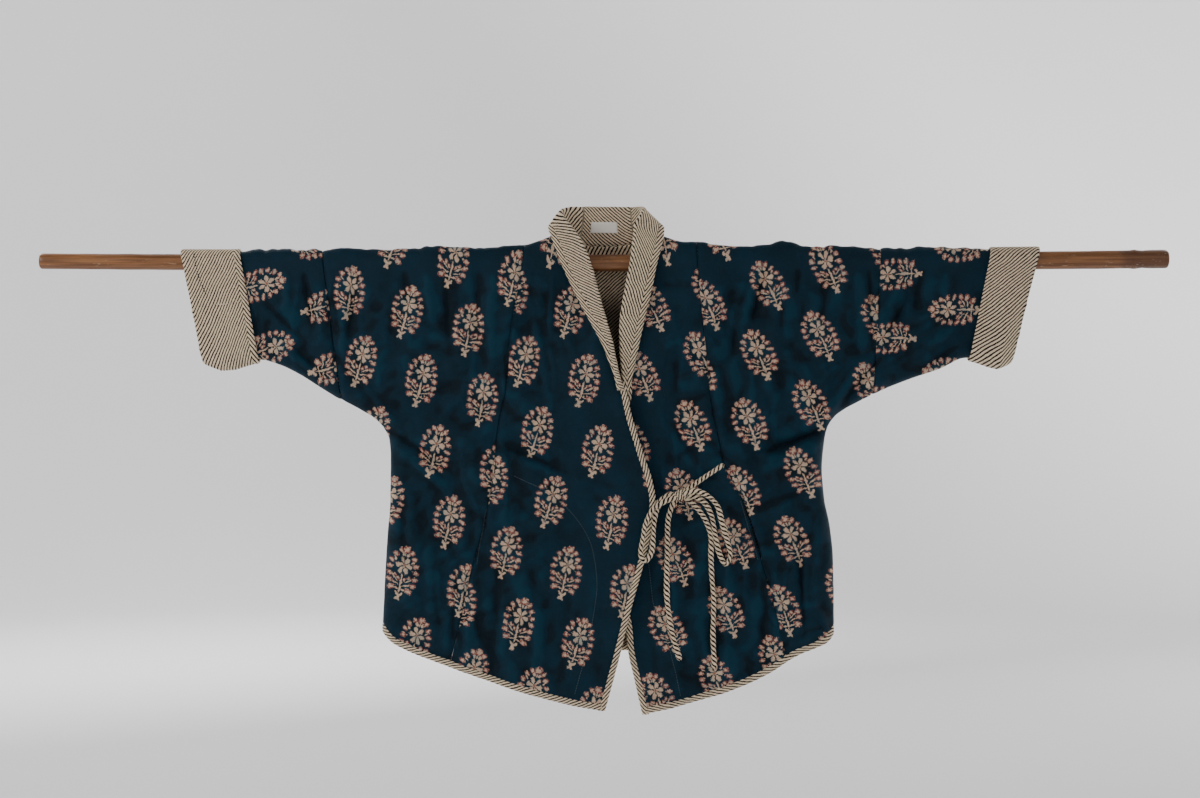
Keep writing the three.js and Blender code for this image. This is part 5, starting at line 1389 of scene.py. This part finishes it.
def on_skin(side, points, count=160):
    """A row along a skin through points given as x and height, with the way out."""
    line = even_points([(x, 0, z) for x, z in points], count)
    x, drop = line[:, 0], rod_z(line[:, 0]) - line[:, 2]
    normal = skin_normal(side, x, drop)
    return skin(side, x, drop) + normal * (WALL / 2 + 0.12), normal


def on_cuff(half, points, count=60):
    """A row on the front of a cuff through points given as x and height, with the way out."""
    near = np.array([v.co for v in made["look_cuff_" + half].data.vertices]) / MM
    near = near[near[:, 1] < 0]
    line = even_points([(x, 0, z) for x, z in points], count)
    far = np.hypot(line[:, None, 0] - near[:, 0], line[:, None, 2] - near[:, 2])
    line[:, 1] = smoothed(near[np.argsort(far, axis=1)[:, :10], 1].min(axis=1), 4)
    return line, np.tile([0.0, -1.0, 0.0], (count, 1))


POCKETS = {
    "right": [(-121.5, -286.2), (-79.7, -306.5), (-45.9, -333.5), (-18.9, -374), (-9.5, -428),
              (-13.5, -468.5), (-25.7, -529.2), (-39.2, -579.2)],
    "left": [(59.4, -401), (68.9, -468.5), (89.1, -522.5), (102.6, -583.2)],
}
MOUTHS = {"right": [(-157.5, -331), (-172, -407)], "left": [(183, -320), (207.9, -401)]}
for half, count in (("right", 300), ("left", 240)):
    stitches(f"pocket_stitches_{half}", [on_skin(half, POCKETS[half], count), on_skin(half, MOUTHS[half])],
             pale_thread, "printed_cotton", width=0.3)
stitches("cuff_stitches_dark", [on_cuff("right", [(-551, 12), (-545, -16), (-533, -46)])], dark_thread,
         "striped_cotton", 2.0, 2.0, 0.9, 0.5)
stitches("cuff_stitches_pale", [on_cuff("right", [(-528, -57), (-508, -56), (-490, -53)])], cream_thread,
         "striped_cotton", 2.2, 1.3, 0.7, 0.4)

# ---------------------------------------------------------------- rod

ROD_END = np.array([0, 0.0006, 0.0014, 0.0024, 0.0036])  # from each end, as shares of the half length


def rod():
    sides = 64
    stations = np.unique(np.concatenate([np.linspace(-1, 1, 240), 1 - ROD_END, ROD_END - 1,
                                         np.linspace(0.915, 0.965, 40)]))
    x = (stations * ROD_HALF)[:, None]
    node = 0.9 * bell(stations - 0.94, 0.006) - 0.35 * bell(stations - 0.955, 0.004)
    end = -1.7 * (1 - np.sqrt(np.clip((1 - np.abs(stations)) / ROD_END[-1], 0, 1)))
    angle = 2 * math.pi * np.arange(sides) / sides
    beyond = ease(0.945, 0.965, stations)[:, None]
    uneven = ((0.16 + 0.30 * beyond) * waves(x * 0.35, np.cos(angle) * 26, 9, 801)
              + 0.12 * waves(x * 0.1, np.sin(angle) * 30, 6, 802))
    radius = rod_radius(x) + (node + end)[:, None] + uneven
    grid = np.stack([x * np.ones(sides), radius * np.cos(angle), rod_z(x) + radius * np.sin(angle)], axis=-1)
    keep(closed_tube("rod", grid, np.zeros((len(grid), sides + 1, 2)), rod_wood), "bamboo", "rod")


rod()

# ---------------------------------------------------------------- stage and light


def stage():
    """A pale floor that rises in one sweep to a distant pale wall all round."""
    floor, flat, sweep, sides = -0.95, 5.5, 2.5, 96
    profile = [(2.0, floor), (flat, floor)]
    profile += [(flat + sweep * math.sin(a), floor + sweep * (1 - math.cos(a)))
                for a in np.linspace(0.1, math.pi / 2, 14)]
    profile += [(flat + sweep, 4.0), (flat + sweep, 7.0)]
    turn = np.arange(sides) * 2 * math.pi / sides
    points = [(r * math.cos(a), r * math.sin(a), z) for r, z in profile for a in turn]
    faces = [[i * sides + j, i * sides + k, (i + 1) * sides + k, (i + 1) * sides + j]
             for i in range(len(profile) - 1) for j, k in zip(range(sides), [*range(1, sides), 0])]
    faces.append(list(range(sides))[::-1])
    mesh = bpy.data.meshes.new("studio")
    mesh.from_pydata(points, [], faces)
    mesh.polygons.foreach_set("use_smooth", np.full(len(mesh.polygons), True))
    thing = bpy.data.objects.new("studio", mesh)
    collection.objects.link(thing)
    s = Shader("studio")
    tone = s.noise(s.object_place(), 0.7)
    colour = s.blend(tone, srgb(228, 227, 229), srgb(232, 231, 232))
    mesh.materials.append(s.finish(colour, 0.9, specular=0.1))


def light(name, place, size, power, colour=(1, 1, 1), aim=(0, 0, -0.25)):
    lamp = bpy.data.lights.new(name, "AREA")
    lamp.shape, lamp.size, lamp.energy, lamp.color = "DISK", size, power, colour
    thing = bpy.data.objects.new(name, lamp)
    thing.location = place
    thing.rotation_euler = (Vector(aim) - Vector(place)).to_track_quat("-Z", "Y").to_euler()
    collection.objects.link(thing)


def sun(name, toward, strength, spread, colour):
    """A large far lamp, whose light falls alike on the object and on the wall behind it."""
    lamp = bpy.data.lights.new(name, "SUN")
    lamp.energy, lamp.angle, lamp.color = strength, math.radians(spread), colour
    thing = bpy.data.objects.new(name, lamp)
    thing.location = Vector(toward) * 3
    thing.rotation_euler = Vector(toward).to_track_quat("Z", "Y").to_euler()
    collection.objects.link(thing)


stage()
sun("key", (-0.85, -0.46, 0.66), 4.3, 9, (1.0, 0.985, 0.965))
light("near_left", (-1.9, -1.2, 0.6), 0.7, 17, (1.0, 0.98, 0.95), (-0.6, 0, 0))
light("back_left", (-2.6, 3.0, 2.4), 2.0, 110)
light("wall_left", (-0.6, 3.2, 1.6), 2.0, 150, aim=(-4.0, 7.5, 0.3))
light("back_right", (2.6, 3.0, 1.6), 2.0, 60)
world = bpy.data.worlds.new("studio")
world.use_nodes = True
world.node_tree.nodes["Background"].inputs["Color"].default_value = (0.93, 0.95, 1.0, 1)
world.node_tree.nodes["Background"].inputs["Strength"].default_value = 0.28
bpy.context.scene.world = world
